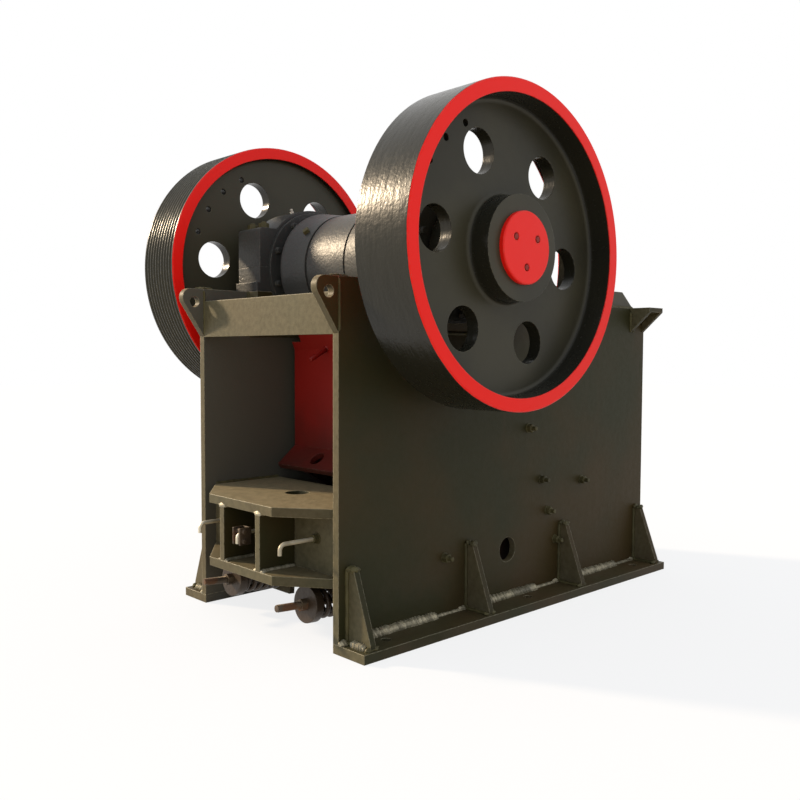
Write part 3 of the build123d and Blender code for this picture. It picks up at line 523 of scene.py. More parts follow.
class Shape:
    """A mesh that is gathered from small bmeshes."""

    def __init__(self) -> None:
        """Start empty."""
        self.whole = bmesh.new()

    def take(self, part: bmesh.types.BMesh, place: Matrix = Matrix.Identity(4),
             smooth: bool = False) -> None:
        """Add a part and free it.

        Args:
            part: Closed part in its own place.
            place: Where the part goes.
            smooth: Whether its faces are shaded round.
        """
        bmesh.ops.transform(part, matrix=place, verts=part.verts)
        bmesh.ops.recalc_face_normals(part, faces=part.faces)
        for face in part.faces:
            face.smooth = smooth
        scratch = bpy.data.meshes.new("scratch")
        part.to_mesh(scratch)
        part.free()
        self.whole.from_mesh(scratch)
        bpy.data.meshes.remove(scratch)

    def add_mirrored(self) -> "Shape":
        """Add the mirror image on the other side of the machine.

        Returns:
            The shape itself.
        """
        everything = self.whole.verts[:] + self.whole.edges[:] + self.whole.faces[:]
        copied = bmesh.ops.duplicate(self.whole, geom=everything)["geom"]
        verts = [item for item in copied if isinstance(item, bmesh.types.BMVert)]
        faces = [item for item in copied if isinstance(item, bmesh.types.BMFace)]
        bmesh.ops.scale(self.whole, vec=(1.0, -1.0, 1.0), verts=verts)
        bmesh.ops.reverse_faces(self.whole, faces=faces)
        return self

    def publish(self, name: str, finish: "Finishes", body: Body) -> None:
        """Make the piece and let it ride on a body.

        Args:
            name: Name of the piece.
            finish: Its finish.
            body: Body that carries it.
        """
        mesh = bpy.data.meshes.new(name)
        self.whole.to_mesh(mesh)
        self.whole.free()
        mesh.materials.append(finish.value.material())
        piece = bpy.data.objects.new(name, mesh)
        bpy.context.scene.collection.objects.link(piece)
        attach(piece, body.value)
        LOG.info("%s: %d faces on %s", name, len(mesh.polygons), body.value)


def standing(foot: Vector, out: Vector) -> Matrix:
    """Matrix that stands a part on a point of a face, with its +Z away from the face."""
    return Matrix.Translation(foot) @ out.to_track_quat("Z", "Y").to_matrix().to_4x4()


def spoke(angle: float) -> Vector:
    """Direction across the shaft, by its angle in degrees from the front towards the top."""
    turn = math.radians(angle)
    return Vector((math.cos(turn), 0.0, math.sin(turn)))


@dataclass(frozen=True)
class Pin:
    """Prism or cylinder along +Z with a softened top edge."""

    radius: float
    low: float
    high: float
    segments: int
    soft: float

    def add(self, shape: Shape, place: Matrix, smooth: bool = False) -> None:
        """Add one to a shape.

        Args:
            shape: Shape to add to.
            place: Where it goes.
            smooth: Whether its faces are shaded round.
        """
        part = bmesh.new()
        middle = Matrix.Translation(UP * (self.low + self.high) / 2)
        bmesh.ops.create_cone(part, cap_ends=True, segments=self.segments, radius1=self.radius,
                              radius2=self.radius, depth=self.high - self.low, matrix=middle)
        edge_from = self.high - self.soft / 2
        rim = [edge for edge in part.edges if all(vert.co.z > edge_from for vert in edge.verts)]
        bmesh.ops.bevel(part, geom=rim, offset=self.soft, offset_type="OFFSET", affect="EDGES", segments=2,
                        profile=0.5, material=-1)
        shape.take(part, place, smooth)


def slab(low: Vector, high: Vector, soft: float) -> bmesh.types.BMesh:
    """Block between two corners with softened edges.

    Args:
        low: Lowest corner.
        high: Highest corner.
        soft: Size of the softened edges.

    Returns:
        The part.
    """
    part = bmesh.new()
    bmesh.ops.create_cube(part, size=1.0)
    bmesh.ops.scale(part, vec=high - low, verts=part.verts)
    bmesh.ops.translate(part, vec=(low + high) / 2, verts=part.verts)
    bmesh.ops.bevel(part, geom=part.edges[:], offset=soft, offset_type="OFFSET", affect="EDGES", segments=2,
                    profile=0.5, material=-1)
    return part


@dataclass(frozen=True)
class HexBolt:
    """Hexagon head or nut on a washer, with or without a stud end."""

    across: float
    stud: float = 0.0
    head_share: float = 0.65
    washer_share: float = 0.66
    washer_thickness: float = 0.004
    washer_soft: float = 0.001
    corner_share: float = 0.06
    stud_share: float = 0.3
    stud_sunk: float = 0.002
    tip_share: float = 0.25

    def add(self, shape: Shape, foot: Vector, out: Vector, turn: float = 0.0) -> None:
        """Add one to a shape.

        Args:
            shape: Shape to add to.
            foot: Point on the face under the washer.
            out: Direction away from the face.
            turn: Angle of the hexagon, in degrees.
        """
        place = standing(foot, out) @ Matrix.Rotation(math.radians(turn), 4, "Z")
        seat = self.washer_thickness
        top = seat + self.across * self.head_share
        Pin(self.across * self.washer_share, -seat / 2, seat, 20, self.washer_soft).add(shape, place)
        Pin(self.across / math.sqrt(3), seat, top, 6, self.across * self.corner_share).add(shape, place)
        if self.stud:
            radius = self.across * self.stud_share
            end = Pin(radius, top - self.stud_sunk, top + self.stud, 16, radius * self.tip_share)
            end.add(shape, place)


@dataclass(frozen=True)
class Bead:
    """Fillet weld with the ripples that the welder leaves."""

    leg: float = 0.01
    pitch: float = 0.008
    rings_per_ripple: int = 3
    swell: float = 0.22
    toe_share: float = 0.2
    lag: float = 0.45
    bury: float = -0.15
    end_share: float = 0.6
    flatness: float = 0.14
    mean_ripple: float = 0.6
    unevenness: float = 0.16
    seed_scale: float = 9.0
    wander_scale: float = 30.0

    def add(self, shape: Shape, start: Vector, end: Vector, first: Vector, second: Vector) -> None:
        """Add a bead along a corner.

        Args:
            shape: Shape to add to.
            start: Start of the corner.
            end: End of the corner.
            first: Direction along the first face, away from the corner.
            second: Direction along the second face, away from the corner.
        """
        length = (end - start).length
        along = (end - start).normalized()
        rings = max(4, round(length / self.pitch * self.rings_per_ripple))
        part = bmesh.new()
        bmesh.ops.create_cone(part, cap_ends=True, segments=8, radius1=1.0, radius2=1.0, depth=1.0)
        sides = [edge for edge in part.edges if abs(edge.verts[0].co.z - edge.verts[1].co.z) > 0.5]
        bmesh.ops.subdivide_edges(part, edges=sides, cuts=rings - 1)
        for vert in part.verts:
            travel = (vert.co.z + 0.5) * length
            crown = max(0.0, min(vert.co.x, vert.co.y)) * math.sqrt(2)
            reach = self.reach(start, travel, length, crown)
            x = max(vert.co.x * reach, self.bury)
            y = max(vert.co.y * reach, self.bury)
            shift = travel - self.lag * self.pitch * crown
            vert.co = start + along * shift + (first * x + second * y) * self.leg
        shape.take(part, smooth=True)

    def reach(self, start: Vector, travel: float, length: float, crown: float) -> float:
        """Size of the bead at a point, as a share of its leg.

        Args:
            start: Start of the corner, which seeds the unevenness.
            travel: Distance from the start.
            length: Length of the bead.
            crown: 1 on the crown of the bead, 0 at its toes.

        Returns:
            The share.
        """
        wander = noise.noise(start * self.seed_scale + AHEAD * (travel * self.wander_scale))
        ripple = abs(math.sin(math.pi * (travel / self.pitch + wander)))
        to_end = min(travel, length - travel) / self.leg
        ended = min(1.0, self.end_share + (1.0 - self.end_share) * math.sqrt(max(to_end, 0.0)))
        flat = 1.0 - self.flatness * crown
        wave = self.swell * (ripple - self.mean_ripple) * (self.toe_share + (1.0 - self.toe_share) * crown)
        return ended * flat * (1.0 + wave + self.unevenness * wander)


@dataclass(frozen=True)
class Lump:
    """Rough blob where a welder stopped or built a corner up."""

    half: Vector
    uneven: float = 0.55
    grain: float = 1.9
    seed_scale: float = 40.0

    def add(self, shape: Shape, place: Vector) -> None:
        """Add one to a shape.

        Args:
            shape: Shape to add to.
            place: Middle of the blob, which also seeds its unevenness.
        """
        part = bmesh.new()
        bmesh.ops.create_icosphere(part, subdivisions=3, radius=1.0)
        for vert in part.verts:
            seed = vert.co * self.grain + place * self.seed_scale
            vert.co *= 1.0 + self.uneven * noise.noise(seed)
        bmesh.ops.scale(part, vec=self.half, verts=part.verts)
        shape.take(part, Matrix.Translation(place), True)


@dataclass
class SideWelds:
    """Welds of one side plate with its foot, gussets, ear, brackets and ledge, and of its twin."""

    foot_bead: Bead = Bead(0.029, 0.018, rings_per_ripple=6, swell=0.6)
    rough_bead: Bead = Bead(0.0232, 0.018)
    heavy_bead: Bead = Bead(0.026, 0.015, rings_per_ripple=6, swell=0.7)
    thin_bead: Bead = Bead(0.011)
    edge_bead: Bead = Bead(0.012)
    top_lump: Lump = Lump(Vector((0.024, 0.014, 0.013)))
    toe_lump: Lump = Lump(Vector((0.022, 0.012, 0.011)))
    ear_lump: Lump = Lump(Vector((0.030, 0.012, 0.009)))
    wide_share: float = 0.72
    heavy_from: float = 0.035
    heavy_length: float = 0.085
    gusset_count: int = 4
    gusset_thickness: float = 0.028
    ledge_thickness: float = 0.020
    ledge_clear: float = 0.025
    ear_clear: float = 0.010
    run_lump_at: Vector = Vector((-0.030, 0.0, 0.008))
    toe_lump_at: Vector = Vector((0.0, 0.010, 0.004))
    top_lumps_at: tuple[float, ...] = (0.008, 0.034)
    ear_lumps_at: tuple[float, ...] = (0.0, 0.035)

    def gusset_starts(self) -> list[float]:
        """Find the gussets.

        Returns:
            X of the rear face of each gusset.
        """
        low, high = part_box("foot_gussets_right")
        pitch = (high.x - low.x - self.gusset_thickness) / (self.gusset_count - 1)
        return [low.x + index * pitch for index in range(self.gusset_count)]

    def build_foot(self) -> None:
        """Build the long beads between the gussets: a wide stretch and a thin one in each bay."""
        shape = Shape()
        plate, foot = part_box("side_plate_right"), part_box("foot_right")
        corner = Vector((0.0, plate[0].y, foot[1].z))
        starts = self.gusset_starts()
        for rear, front in zip(starts, starts[1:]):
            begin = rear + self.gusset_thickness
            change = begin + (front - begin) * self.wide_share
            self.foot_bead.add(shape, corner + AHEAD * begin, corner + AHEAD * change, -INWARD, UP)
            self.thin_bead.add(shape, corner + AHEAD * change, corner + AHEAD * front, -INWARD, UP)
            self.toe_lump.add(shape, corner + AHEAD * front + self.run_lump_at)
        first = corner + AHEAD * starts[0]
        self.rough_bead.add(shape, corner + AHEAD * plate[0].x, first, -INWARD, UP)
        heel = first - INWARD * self.heavy_from
        self.heavy_bead.add(shape, heel, heel - INWARD * self.heavy_length, -AHEAD, UP)
        shape.add_mirrored().publish("foot_welds", Finishes.WELD, Body.FRAME)

    def build_gussets(self) -> None:
        """Build the beads round each gusset, with rough lumps at its top and at its toe."""
        shape = Shape()
        low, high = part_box("foot_gussets_right")
        for rear in self.gusset_starts():
            front = rear + self.gusset_thickness
            for x, out in ((rear, -AHEAD), (front, AHEAD)):
                root, toe = Vector((x, high.y, low.z)), Vector((x, low.y, low.z))
                self.edge_bead.add(shape, root, root + UP * (high.z - low.z), out, -INWARD)
                self.edge_bead.add(shape, root, toe, out, UP)
                self.toe_lump.add(shape, toe + self.toe_lump_at)
            for step in self.top_lumps_at:
                self.top_lump.add(shape, Vector(((rear + front) / 2, high.y - step, high.z)))
        shape.add_mirrored().publish("gusset_welds", Finishes.PAINTED_WELD, Body.FRAME)

    def build_upper(self) -> None:
        """Build the beads under the bearing brackets and at the feed ledge, feed guard and lifting ear."""
        shape = Shape()
        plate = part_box("side_plate_right")
        faces = ((plate[0].y, -INWARD), (plate[1].y, INWARD))
        low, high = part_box("bearing_brackets_right")
        for y, out in faces:
            self.edge_bead.add(shape, Vector((low.x, y, low.z)), Vector((high.x, y, low.z)), out, -UP)
            for x, away in ((low.x, -AHEAD), (high.x, AHEAD)):
                self.edge_bead.add(shape, Vector((x, y, low.z)), Vector((x, y, high.z)), away, out)
        low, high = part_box("feed_ledge_right")
        for x, out in ((low.x, -AHEAD), (low.x + self.ledge_thickness, AHEAD)):
            root = Vector((x, plate[0].y, low.z))
            self.thin_bead.add(shape, root, root + UP * (high.z - low.z - self.ledge_clear), out, -INWARD)
        low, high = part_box("feed_guard_right")
        self.thin_bead.add(shape, low, Vector((high.x, low.y, low.z)), -INWARD, UP)
        low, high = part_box("lifting_ear_right")
        for y, out in faces:
            bottom = Vector((high.x, y, low.z + self.ear_clear))
            self.thin_bead.add(shape, bottom, Vector((high.x, y, high.z - self.ear_clear)), out, AHEAD)
        for step in self.ear_lumps_at:
            self.ear_lump.add(shape, Vector((high.x + step, (plate[0].y + plate[1].y) / 2, high.z)))
        shape.add_mirrored().publish("upper_welds", Finishes.PAINTED_WELD, Body.FRAME)

    def build(self) -> None:
        """Build both sides."""
        self.build_foot()
        self.build_gussets()
        self.build_upper()


@dataclass
class BoxWelds:
    """Welds of the rear box, of the cross plate and of the spring brackets."""

    bead: Bead = Bead(0.011)
    corner_lump: Lump = Lump(Vector((0.012, 0.016, 0.010)))
    roof_lump: Lump = Lump(Vector((0.010, 0.026, 0.012)), 0.3)
    rib_thickness: float = 0.032
    rear_inset: float = 0.004
    corner_step: float = 0.008
    bracket_inset: float = 0.012
    bracket_width: float = 0.190

    def build_plates(self) -> None:
        """Build the beads where the shelf, the floor and the cross plate meet the side plates."""
        shape = Shape()
        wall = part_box("side_plate_right")[1].y
        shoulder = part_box("thrust_wall")[0].x
        for node in ("shelf", "box_floor"):
            low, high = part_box(node)
            for z, out in ((high.z, UP), (low.z, -UP)):
                self.bead.add(shape, Vector((shoulder, wall, z)), Vector((high.x, wall, z)), INWARD, out)
        low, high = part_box("rear_cross_plate")
        self.bead.add(shape, Vector((high.x, wall, low.z)), Vector((high.x, wall, high.z)), AHEAD, INWARD)
        low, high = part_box("spring_brackets")
        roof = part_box("box_floor")[0].z
        for x, out in ((low.x + self.bracket_inset, -AHEAD), (high.x, AHEAD)):
            root = Vector((x, low.y, roof))
            self.bead.add(shape, root, root + INWARD * self.bracket_width, out, -UP)
        shape.add_mirrored().publish("box_plate_welds", Finishes.PAINTED_WELD, Body.FRAME)

    def build_ribs(self) -> None:
        """Build the beads round each rib of the rear box, built up at its open corners."""
        shape = Shape()
        low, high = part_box("box_ribs")
        floor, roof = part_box("box_floor")[1].z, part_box("shelf")[0].z
        rear = low.x + self.rear_inset
        for y, out in ((low.y, -INWARD), (low.y + self.rib_thickness, INWARD)):
            self.bead.add(shape, Vector((rear, y, floor)), Vector((high.x, y, floor)), out, UP)
            self.bead.add(shape, Vector((rear, y, roof)), Vector((high.x, y, roof)), out, -UP)
            self.corner_lump.add(shape, Vector((rear, y, floor)) + (AHEAD + out) * self.corner_step)
        self.roof_lump.add(shape, Vector((rear, low.y + self.rib_thickness / 2, roof)))
        shape.add_mirrored().publish("box_rib_welds", Finishes.BRIGHT_WELD, Body.FRAME)

    def build(self) -> None:
        """Build both sides."""
        self.build_plates()
        self.build_ribs()


@dataclass
class FrontWelds:
    """Welds of the ribs and posts in front of the fixed jaw, and the nuts that hold its plate."""

    nut: HexBolt = HexBolt(0.055, stud=0.03)
    bead: Bead = Bead(0.012, 0.012, rings_per_ripple=2)
    rib_thickness: float = 0.035
    levels: int = 4
    post_middle: float = 0.165
    nut_columns: tuple[float, ...] = (-0.33, 0.0, 0.33)
    nut_turn: float = 90.0

    def level_heights(self) -> list[float]:
        """Find the level ribs.

        Returns:
            Z of the underside of each level rib.
        """
        low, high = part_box("front_shelves")
        step = (high.z - low.z - self.rib_thickness) / (self.levels - 1)
        return [low.z + index * step for index in range(self.levels)]

    def build_welds(self) -> None:
        """Build the beads of the ribs and posts."""
        shape = Shape()
        low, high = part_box("front_shelves")
        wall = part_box("side_plate_right")[1].y
        heights = self.level_heights()
        corners = []
        for z in heights:
            corners += [(wall, z, INWARD, -UP), (wall, z + self.rib_thickness, INWARD, UP)]
        for below, above in zip(heights, heights[1:]):
            for side, out in ((-0.5, -INWARD), (0.5, INWARD)):
                y = -self.post_middle + side * self.rib_thickness
                corners += [(y, below + self.rib_thickness, out, UP), (y, above, out, -UP)]
        for y, z, first, second in corners:
            self.bead.add(shape, Vector((low.x, y, z)), Vector((high.x, y, z)), first, second)
        shape.add_mirrored().publish("front_welds", Finishes.PAINTED_WELD, Body.FRAME)

    def build_nuts(self) -> None:
        """Build the nuts in the lowest and the highest row of bays."""
        shape = Shape()
        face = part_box("front_wall")[1].x
        heights = self.level_heights()
        for below, above in (heights[:2], heights[-2:]):
            for y in self.nut_columns:
                foot = Vector((face, y, (below + above + self.rib_thickness) / 2))
                self.nut.add(shape, foot, AHEAD, self.nut_turn * y)
        shape.publish("fixed_jaw_nuts", Finishes.FASTENER, Body.FRAME)

    def build(self) -> None:
        """Build all of it."""
        self.build_welds()
        self.build_nuts()


@dataclass
class LinerBolts:
    """Nuts on the studs that hold the cheek plates and the toggle seat."""

    nut: HexBolt = HexBolt(0.036, stud=0.024)
    nut_turn: float = 17.0
    places: tuple[tuple[float, float], ...] = (
        (0.082, 0.862), (0.190, 0.594), (0.539, 0.560), (0.243, 0.429), (0.310, 0.270), (-0.521, 0.304),
        (0.250, 1.250), (0.520, 1.250),
    )

    def build(self) -> None:
        """Build both sides."""
        shape = Shape()
        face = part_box("side_plate_right")[0].y
        for index, (x, z) in enumerate(self.places):
            self.nut.add(shape, Vector((x, face, z)), -INWARD, index * self.nut_turn)
        shape.add_mirrored().publish("liner_nuts", Finishes.FASTENER, Body.FRAME)


@dataclass
class BearingFittings:
    """Cap nuts, cover bolts and grease nipples of the bearings."""

    cap_nut: HexBolt = HexBolt(0.046, stud=0.008, head_share=0.5)
    cover_bolt: HexBolt = HexBolt(0.026)
    shoulder: float = 0.195
    stud_reach: float = 0.288
    stud_spread: float = 0.050
    nut_turn: float = 400.0
    cover_circle: float = 0.265
    cover_count: int = 10
    cover_turn: float = 11.0
    crown: float = 0.310
    nipple_angle: float = 104.0
    nipple: Pin = Pin(0.007, 0.0, 0.024, 16, 0.003)
    nipple_base: Pin = Pin(0.0105, -0.004, 0.0096, 6, 0.001)

    def build(self) -> None:
        """Build both sides."""
        low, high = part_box("bearing_base_right")
        middle = Vector((SHAFT.x, (low.y + high.y) / 2, SHAFT.z))
        nuts, bolts, nipples = Shape(), Shape(), Shape()
        for x in (-self.stud_reach, self.stud_reach):
            for y in (-self.stud_spread, self.stud_spread):
                self.cap_nut.add(nuts, middle + Vector((x, y, self.shoulder)), UP, self.nut_turn * x)
        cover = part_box("bearing_covers_right")
        for face, out in ((cover[0].y, -INWARD), (cover[1].y, INWARD)):
            for index in range(self.cover_count):
                spot = spoke((index + 0.5) * 360.0 / self.cover_count) * self.cover_circle
                foot = Vector((SHAFT.x, face, SHAFT.z)) + spot
                self.cover_bolt.add(bolts, foot, out, index * self.cover_turn)
        out = spoke(self.nipple_angle)
        place = standing(middle + out * self.crown, out)
        self.nipple_base.add(nipples, place)
        self.nipple.add(nipples, place, True)
        nuts.add_mirrored().publish("bearing_cap_nuts", Finishes.FASTENER, Body.FRAME)
        bolts.add_mirrored().publish("bearing_cover_bolts", Finishes.CASTING, Body.FRAME)
        nipples.add_mirrored().publish("grease_nipples", Finishes.BRIGHT, Body.FRAME)


@dataclass
class WheelBolts:
    """Bolts in the counterbores of the end caps of the shaft."""

    bolt: HexBolt = HexBolt(0.022, head_share=0.4, washer_share=0.62, washer_thickness=0.002)
    circle: float = 0.080
    sunk: float = 0.010
    angles: tuple[float, ...] = (30.0, 150.0, 270.0)

    def build(self) -> None:
        """Build both sides."""
        shape = Shape()
        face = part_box("flywheel_cap")[0].y + self.sunk
        for angle in self.angles:
            foot = Vector((SHAFT.x, face, SHAFT.z)) + spoke(angle) * self.circle
            self.bolt.add(shape, foot, -INWARD, angle)
        # Painted shade: the sunk bolts wear a darker copy of the red enamel.
        shape.add_mirrored().publish("end_cap_bolts", Finishes.SHADED_RED, Body.ROTOR)


@dataclass
class JawFittings:
    """Short bars, cover bolts, set screws and wedge bolts of the swing jaw."""

    cover_bolt: HexBolt = HexBolt(0.026)
    wedge_bolt: HexBolt = HexBolt(0.036)
    cover_circle: float = 0.205
    cover_count: int = 10
    cover_turn: float = 13.0
    screw: Pin = Pin(0.015 * math.sqrt(2), -0.016, 0.016, 4, 0.002)
    screw_angle: float = 141.0
    screw_reach: float = 0.278
    screw_place: float = -0.200
    face_top: Vector = Vector((-0.010, 0.0, 1.480))
    face_lean: float = 21.41
    wedge_depth: float = 0.030
    wedge_middle: float = 0.045
    wedge_columns: tuple[float, ...] = (-0.340, -0.170, 0.0, 0.170, 0.340)
    wedge_turn: float = 70.0
    stub_place: Vector = Vector((-0.645, -0.168, 1.253))
    stub_slope: float = 28.0
    stub: Pin = Pin(0.011, -0.020, 0.118, 24, 0.00385)
    collar: Pin = Pin(0.0176, -0.020, 0.0066, 24, 0.0044)

    def build_stubs(self) -> None:
        """Build the two short bars on the back of the body, each on a welded collar."""
        shape = Shape()
        place = standing(self.stub_place, spoke(180.0 + self.stub_slope))
        self.stub.add(shape, place, True)
        self.collar.add(shape, place, True)
        # Painted shade: the bars wear a darker copy of the red enamel.
        shape.add_mirrored().publish("jaw_stubs", Finishes.SHADED_RED, Body.JAW)

    def build_cover_bolts(self) -> None:
        """Build the bolts on both ends of the barrel."""
        shape = Shape()
        middle = Vector((BARREL.x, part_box("barrel_covers")[0].y, BARREL.z))
        for index in range(self.cover_count):
            spot = spoke(index * 360.0 / self.cover_count) * self.cover_circle
            self.cover_bolt.add(shape, middle + spot, -INWARD, index * self.cover_turn)
        shape.add_mirrored().publish("barrel_cover_bolts", Finishes.CASTING, Body.JAW)

    def build_set_screws(self) -> None:
        """Build a square-headed screw in each cone of the barrel."""
        shape = Shape()
        out = spoke(self.screw_angle)
        place = standing(BARREL + out * self.screw_reach + INWARD * self.screw_place, out)
        self.screw.add(shape, place)
        shape.add_mirrored().publish("barrel_set_screws", Finishes.FASTENER, Body.JAW)

    def build_wedge_bolts(self) -> None:
        """Build the row of bolts on the front of the wedge."""
        shape = Shape()
        out = spoke(self.face_lean)
        rise = spoke(self.face_lean + 90.0)
        for y in self.wedge_columns:
            foot = self.face_top - out * self.wedge_depth + rise * self.wedge_middle + INWARD * y
            self.wedge_bolt.add(shape, foot, out, self.wedge_turn * y)
        shape.publish("wedge_bolts", Finishes.FASTENER, Body.JAW)

    def build(self) -> None:
        """Build all of it."""
        self.build_stubs()
        self.build_cover_bolts()
        self.build_set_screws()
        self.build_wedge_bolts()


@dataclass
class BoxFittings:
    """Nuts where the pull rods leave the thrust wall, and the clevis on the middle one."""

    nut: HexBolt = HexBolt(0.036)
    nut_turn: float = 80.0
    spacing: float = 0.315
    height: float = 0.440
    clevis_rear: float = -1.288
    clevis_front: float = -1.226
    clevis_half: float = 0.030
    clevis_plate: float = 0.010
    clevis_drop: float = 0.050
    clevis_rise: float = 0.026
    clevis_soft: float = 0.003
    pin: Pin = Pin(0.011, -0.040, 0.040, 20, 0.002)
    pin_back: float = 0.010
    pin_above: float = 0.018
    pin_below: float = 0.016

    def build_nuts(self) -> None:
        """Build the three nuts."""
        shape = Shape()
        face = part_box("thrust_wall")[0].x
        for y in (-self.spacing, 0.0, self.spacing):
            self.nut.add(shape, Vector((face, y, self.height)), -AHEAD, self.nut_turn * y)
        shape.publish("pull_rod_nuts", Finishes.FASTENER, Body.FRAME)

    def build_clevis(self) -> None:
        """Build the two cheeks, the bridge behind the rod and the two pins."""
        shape = Shape()
        bottom, top = self.height - self.clevis_drop, self.height + self.clevis_rise
        half, plate = self.clevis_half, self.clevis_plate
        plates = (
            (self.clevis_rear, half - plate, half),
            (self.clevis_rear, -half, plate - half),
            (self.clevis_front - plate, -half, half),
        )
        for rear, right, left in plates:
            low, high = Vector((rear, right, bottom)), Vector((self.clevis_front, left, top))
            shape.take(slab(low, high, self.clevis_soft))
        middle = (self.clevis_rear + self.clevis_front) / 2 - self.pin_back
        for z in (bottom + self.pin_above, top - self.pin_below):
            self.pin.add(shape, standing(Vector((middle, 0.0, z)), -INWARD), True)
        shape.publish("pull_rod_clevis", Finishes.CLEVIS, Body.FRAME)

    def build(self) -> None:
        """Build all of it."""
        self.build_nuts()
        self.build_clevis()


@dataclass
class RodThreads:
    """Screw threads on the rear ends of the tension rods, behind their nuts."""

    eye: Vector = Vector((-0.245, -0.288, 0.095))
    slope: float = 4.0
    start: float = 0.918
    end: float = 1.032
    radius: float = 0.015
    pitch: float = 0.004
    depth: float = 0.0014
    sunk: float = 0.001
    steps_per_turn: int = 20

    def build(self) -> None:
        """Build both threads."""
        shape = Shape()
        part = bmesh.new()
        profile = ((-self.sunk, -self.pitch / 2), (self.depth, 0.0), (-self.sunk, self.pitch / 2))
        corners = [part.verts.new((self.radius + out, 0.0, along)) for out, along in profile]
        part.faces.new(corners)
        length = self.end - self.start
        turns = length / self.pitch
        steps = round(turns * self.steps_per_turn)
        bmesh.ops.spin(part, geom=part.faces[:], cent=(0.0, 0.0, 0.0), axis=UP, dvec=UP * (length / steps),
                       angle=2 * math.pi * turns, steps=steps)
        rearward = spoke(180.0 - self.slope)
        shape.take(part, standing(self.eye + rearward * self.start, rearward))
        shape.add_mirrored().publish("rod_threads", Finishes.ROD, Body.FRAME)


@dataclass
class Studio:
    """White floor and surroundings, a warm low key light and the camera of the picture."""

    place: Vector = Vector((-3.360, -3.2193, 1.2255))
    yaw: float = 46.46
    pitch: float = -2.99
    roll: float = 0.22
    lens: float = 39.02
    key_from: Vector = Vector((-0.395, 0.818, 0.418))
    key_strength: float = 5.0
    key_colour: str = "ffe6c4"
    key_angle: float = 5.0
    key_distance: float = 8.0
    sky_strength: float = 0.85
    sky_colour: str = "f2f7ff"
    floor_size: float = 60.0
    floor_glow: float = 0.82
    floor_grey: Colour = (0.8, 0.8, 0.8, 1.0)
    ground: str = "c6bba4"

    def seen(self, graph: Graph) -> Value:
        """Tell the rays that should meet plain white.

        Args:
            graph: Graph of the floor or of the world.

        Returns:
            1 for rays from the camera, from gloss and through glass.
        """
        camera = graph.node("ShaderNodeLightPath", output="Is Camera Ray")
        glossy = graph.node("ShaderNodeLightPath", output="Is Glossy Ray")
        through = graph.node("ShaderNodeLightPath", output="Is Transmission Ray")
        return camera | glossy | through

    def build_world(self) -> None:
        """White surroundings that light the object less than they show."""
        world = bpy.data.worlds.new("studio")
        bpy.context.scene.world = world
        world.use_nodes = True
        graph = Graph(world.node_tree)
        strength = self.sky_strength + (1.0 - self.sky_strength) * self.seen(graph)
        colour = graph.blend(self.seen(graph), self.sky_colour, WHITE)
        light = graph.node("ShaderNodeBackground", inputs={"Color": colour, "Strength": strength})
        graph.node("ShaderNodeOutputWorld", inputs={"Surface": light})

    def build_floor(self) -> None:
        """White floor that keeps the object's shadow and throws warm light back up."""
        made = bpy.data.materials.new("studio_floor")
        made.use_nodes = True
        graph = Graph(made.node_tree)
        matt = graph.node("ShaderNodeBsdfDiffuse", inputs={"Color": self.floor_grey})
        glow = graph.node("ShaderNodeEmission", inputs={"Color": WHITE, "Strength": 1.0})
        white = graph.node("ShaderNodeMixShader", inputs={0: self.floor_glow, 1: matt, 2: glow})
        earth = graph.node("ShaderNodeBsdfDiffuse", inputs={"Color": self.ground})
        mixed = graph.node("ShaderNodeMixShader", inputs={0: self.seen(graph), 1: earth, 2: white})
        graph.node("ShaderNodeOutputMaterial", inputs={"Surface": mixed})
        part = bmesh.new()
        bmesh.ops.create_grid(part, x_segments=1, y_segments=1, size=self.floor_size / 2)
        mesh = bpy.data.meshes.new("studio_floor")
        part.to_mesh(mesh)
        part.free()
        mesh.materials.append(made)
        floor = bpy.data.objects.new("studio_floor", mesh)
        bpy.context.scene.collection.objects.link(floor)

    def build_key(self) -> None:
        """Warm low light from behind the far side."""
        lamp = bpy.data.lights.new("key", "SUN")
        lamp.energy = self.key_strength
        lamp.color = paint(self.key_colour)[:3]
        lamp.angle = math.radians(self.key_angle)
        key = bpy.data.objects.new("key", lamp)
        key.matrix_world = standing(self.key_from * self.key_distance, self.key_from)
        bpy.context.scene.collection.objects.link(key)

    def build_camera(self) -> None:
        """Camera at the picture's place."""
        yaw, pitch = math.radians(self.yaw), math.radians(self.pitch)
        heading = Vector((math.cos(yaw), math.sin(yaw), 0.0))
        forward = heading * math.cos(pitch) + UP * math.sin(pitch)
        level = Vector((math.sin(yaw), -math.cos(yaw), 0.0))
        above = level.cross(forward)
        aim = Matrix((level, above, -forward)).transposed().to_4x4()
        lens = bpy.data.cameras.new("camera")
        lens.lens = self.lens
        camera = bpy.data.objects.new("camera", lens)
        roll = Matrix.Rotation(math.radians(self.roll), 4, "Z")
        camera.matrix_world = Matrix.Translation(self.place) @ aim @ roll
        bpy.context.scene.collection.objects.link(camera)
        bpy.context.scene.camera = camera

    def build(self) -> None:
        """Build the whole studio."""
        bpy.context.scene.view_settings.view_transform = "Standard"
        self.build_world()
        self.build_floor()
        self.build_key()
        self.build_camera()


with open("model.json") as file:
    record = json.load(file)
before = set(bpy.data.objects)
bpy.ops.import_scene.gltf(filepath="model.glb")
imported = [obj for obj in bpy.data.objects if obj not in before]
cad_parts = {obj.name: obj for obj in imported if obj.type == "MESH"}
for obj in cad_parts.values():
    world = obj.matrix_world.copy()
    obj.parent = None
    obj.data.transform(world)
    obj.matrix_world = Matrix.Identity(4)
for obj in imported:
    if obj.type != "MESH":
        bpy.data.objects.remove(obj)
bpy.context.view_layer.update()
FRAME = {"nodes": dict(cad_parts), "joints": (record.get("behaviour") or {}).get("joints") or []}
SHAFT = Vector(FRAME["joints"][0]["pos_m"])
BARREL = Vector(FRAME["joints"][1]["pos_m"])


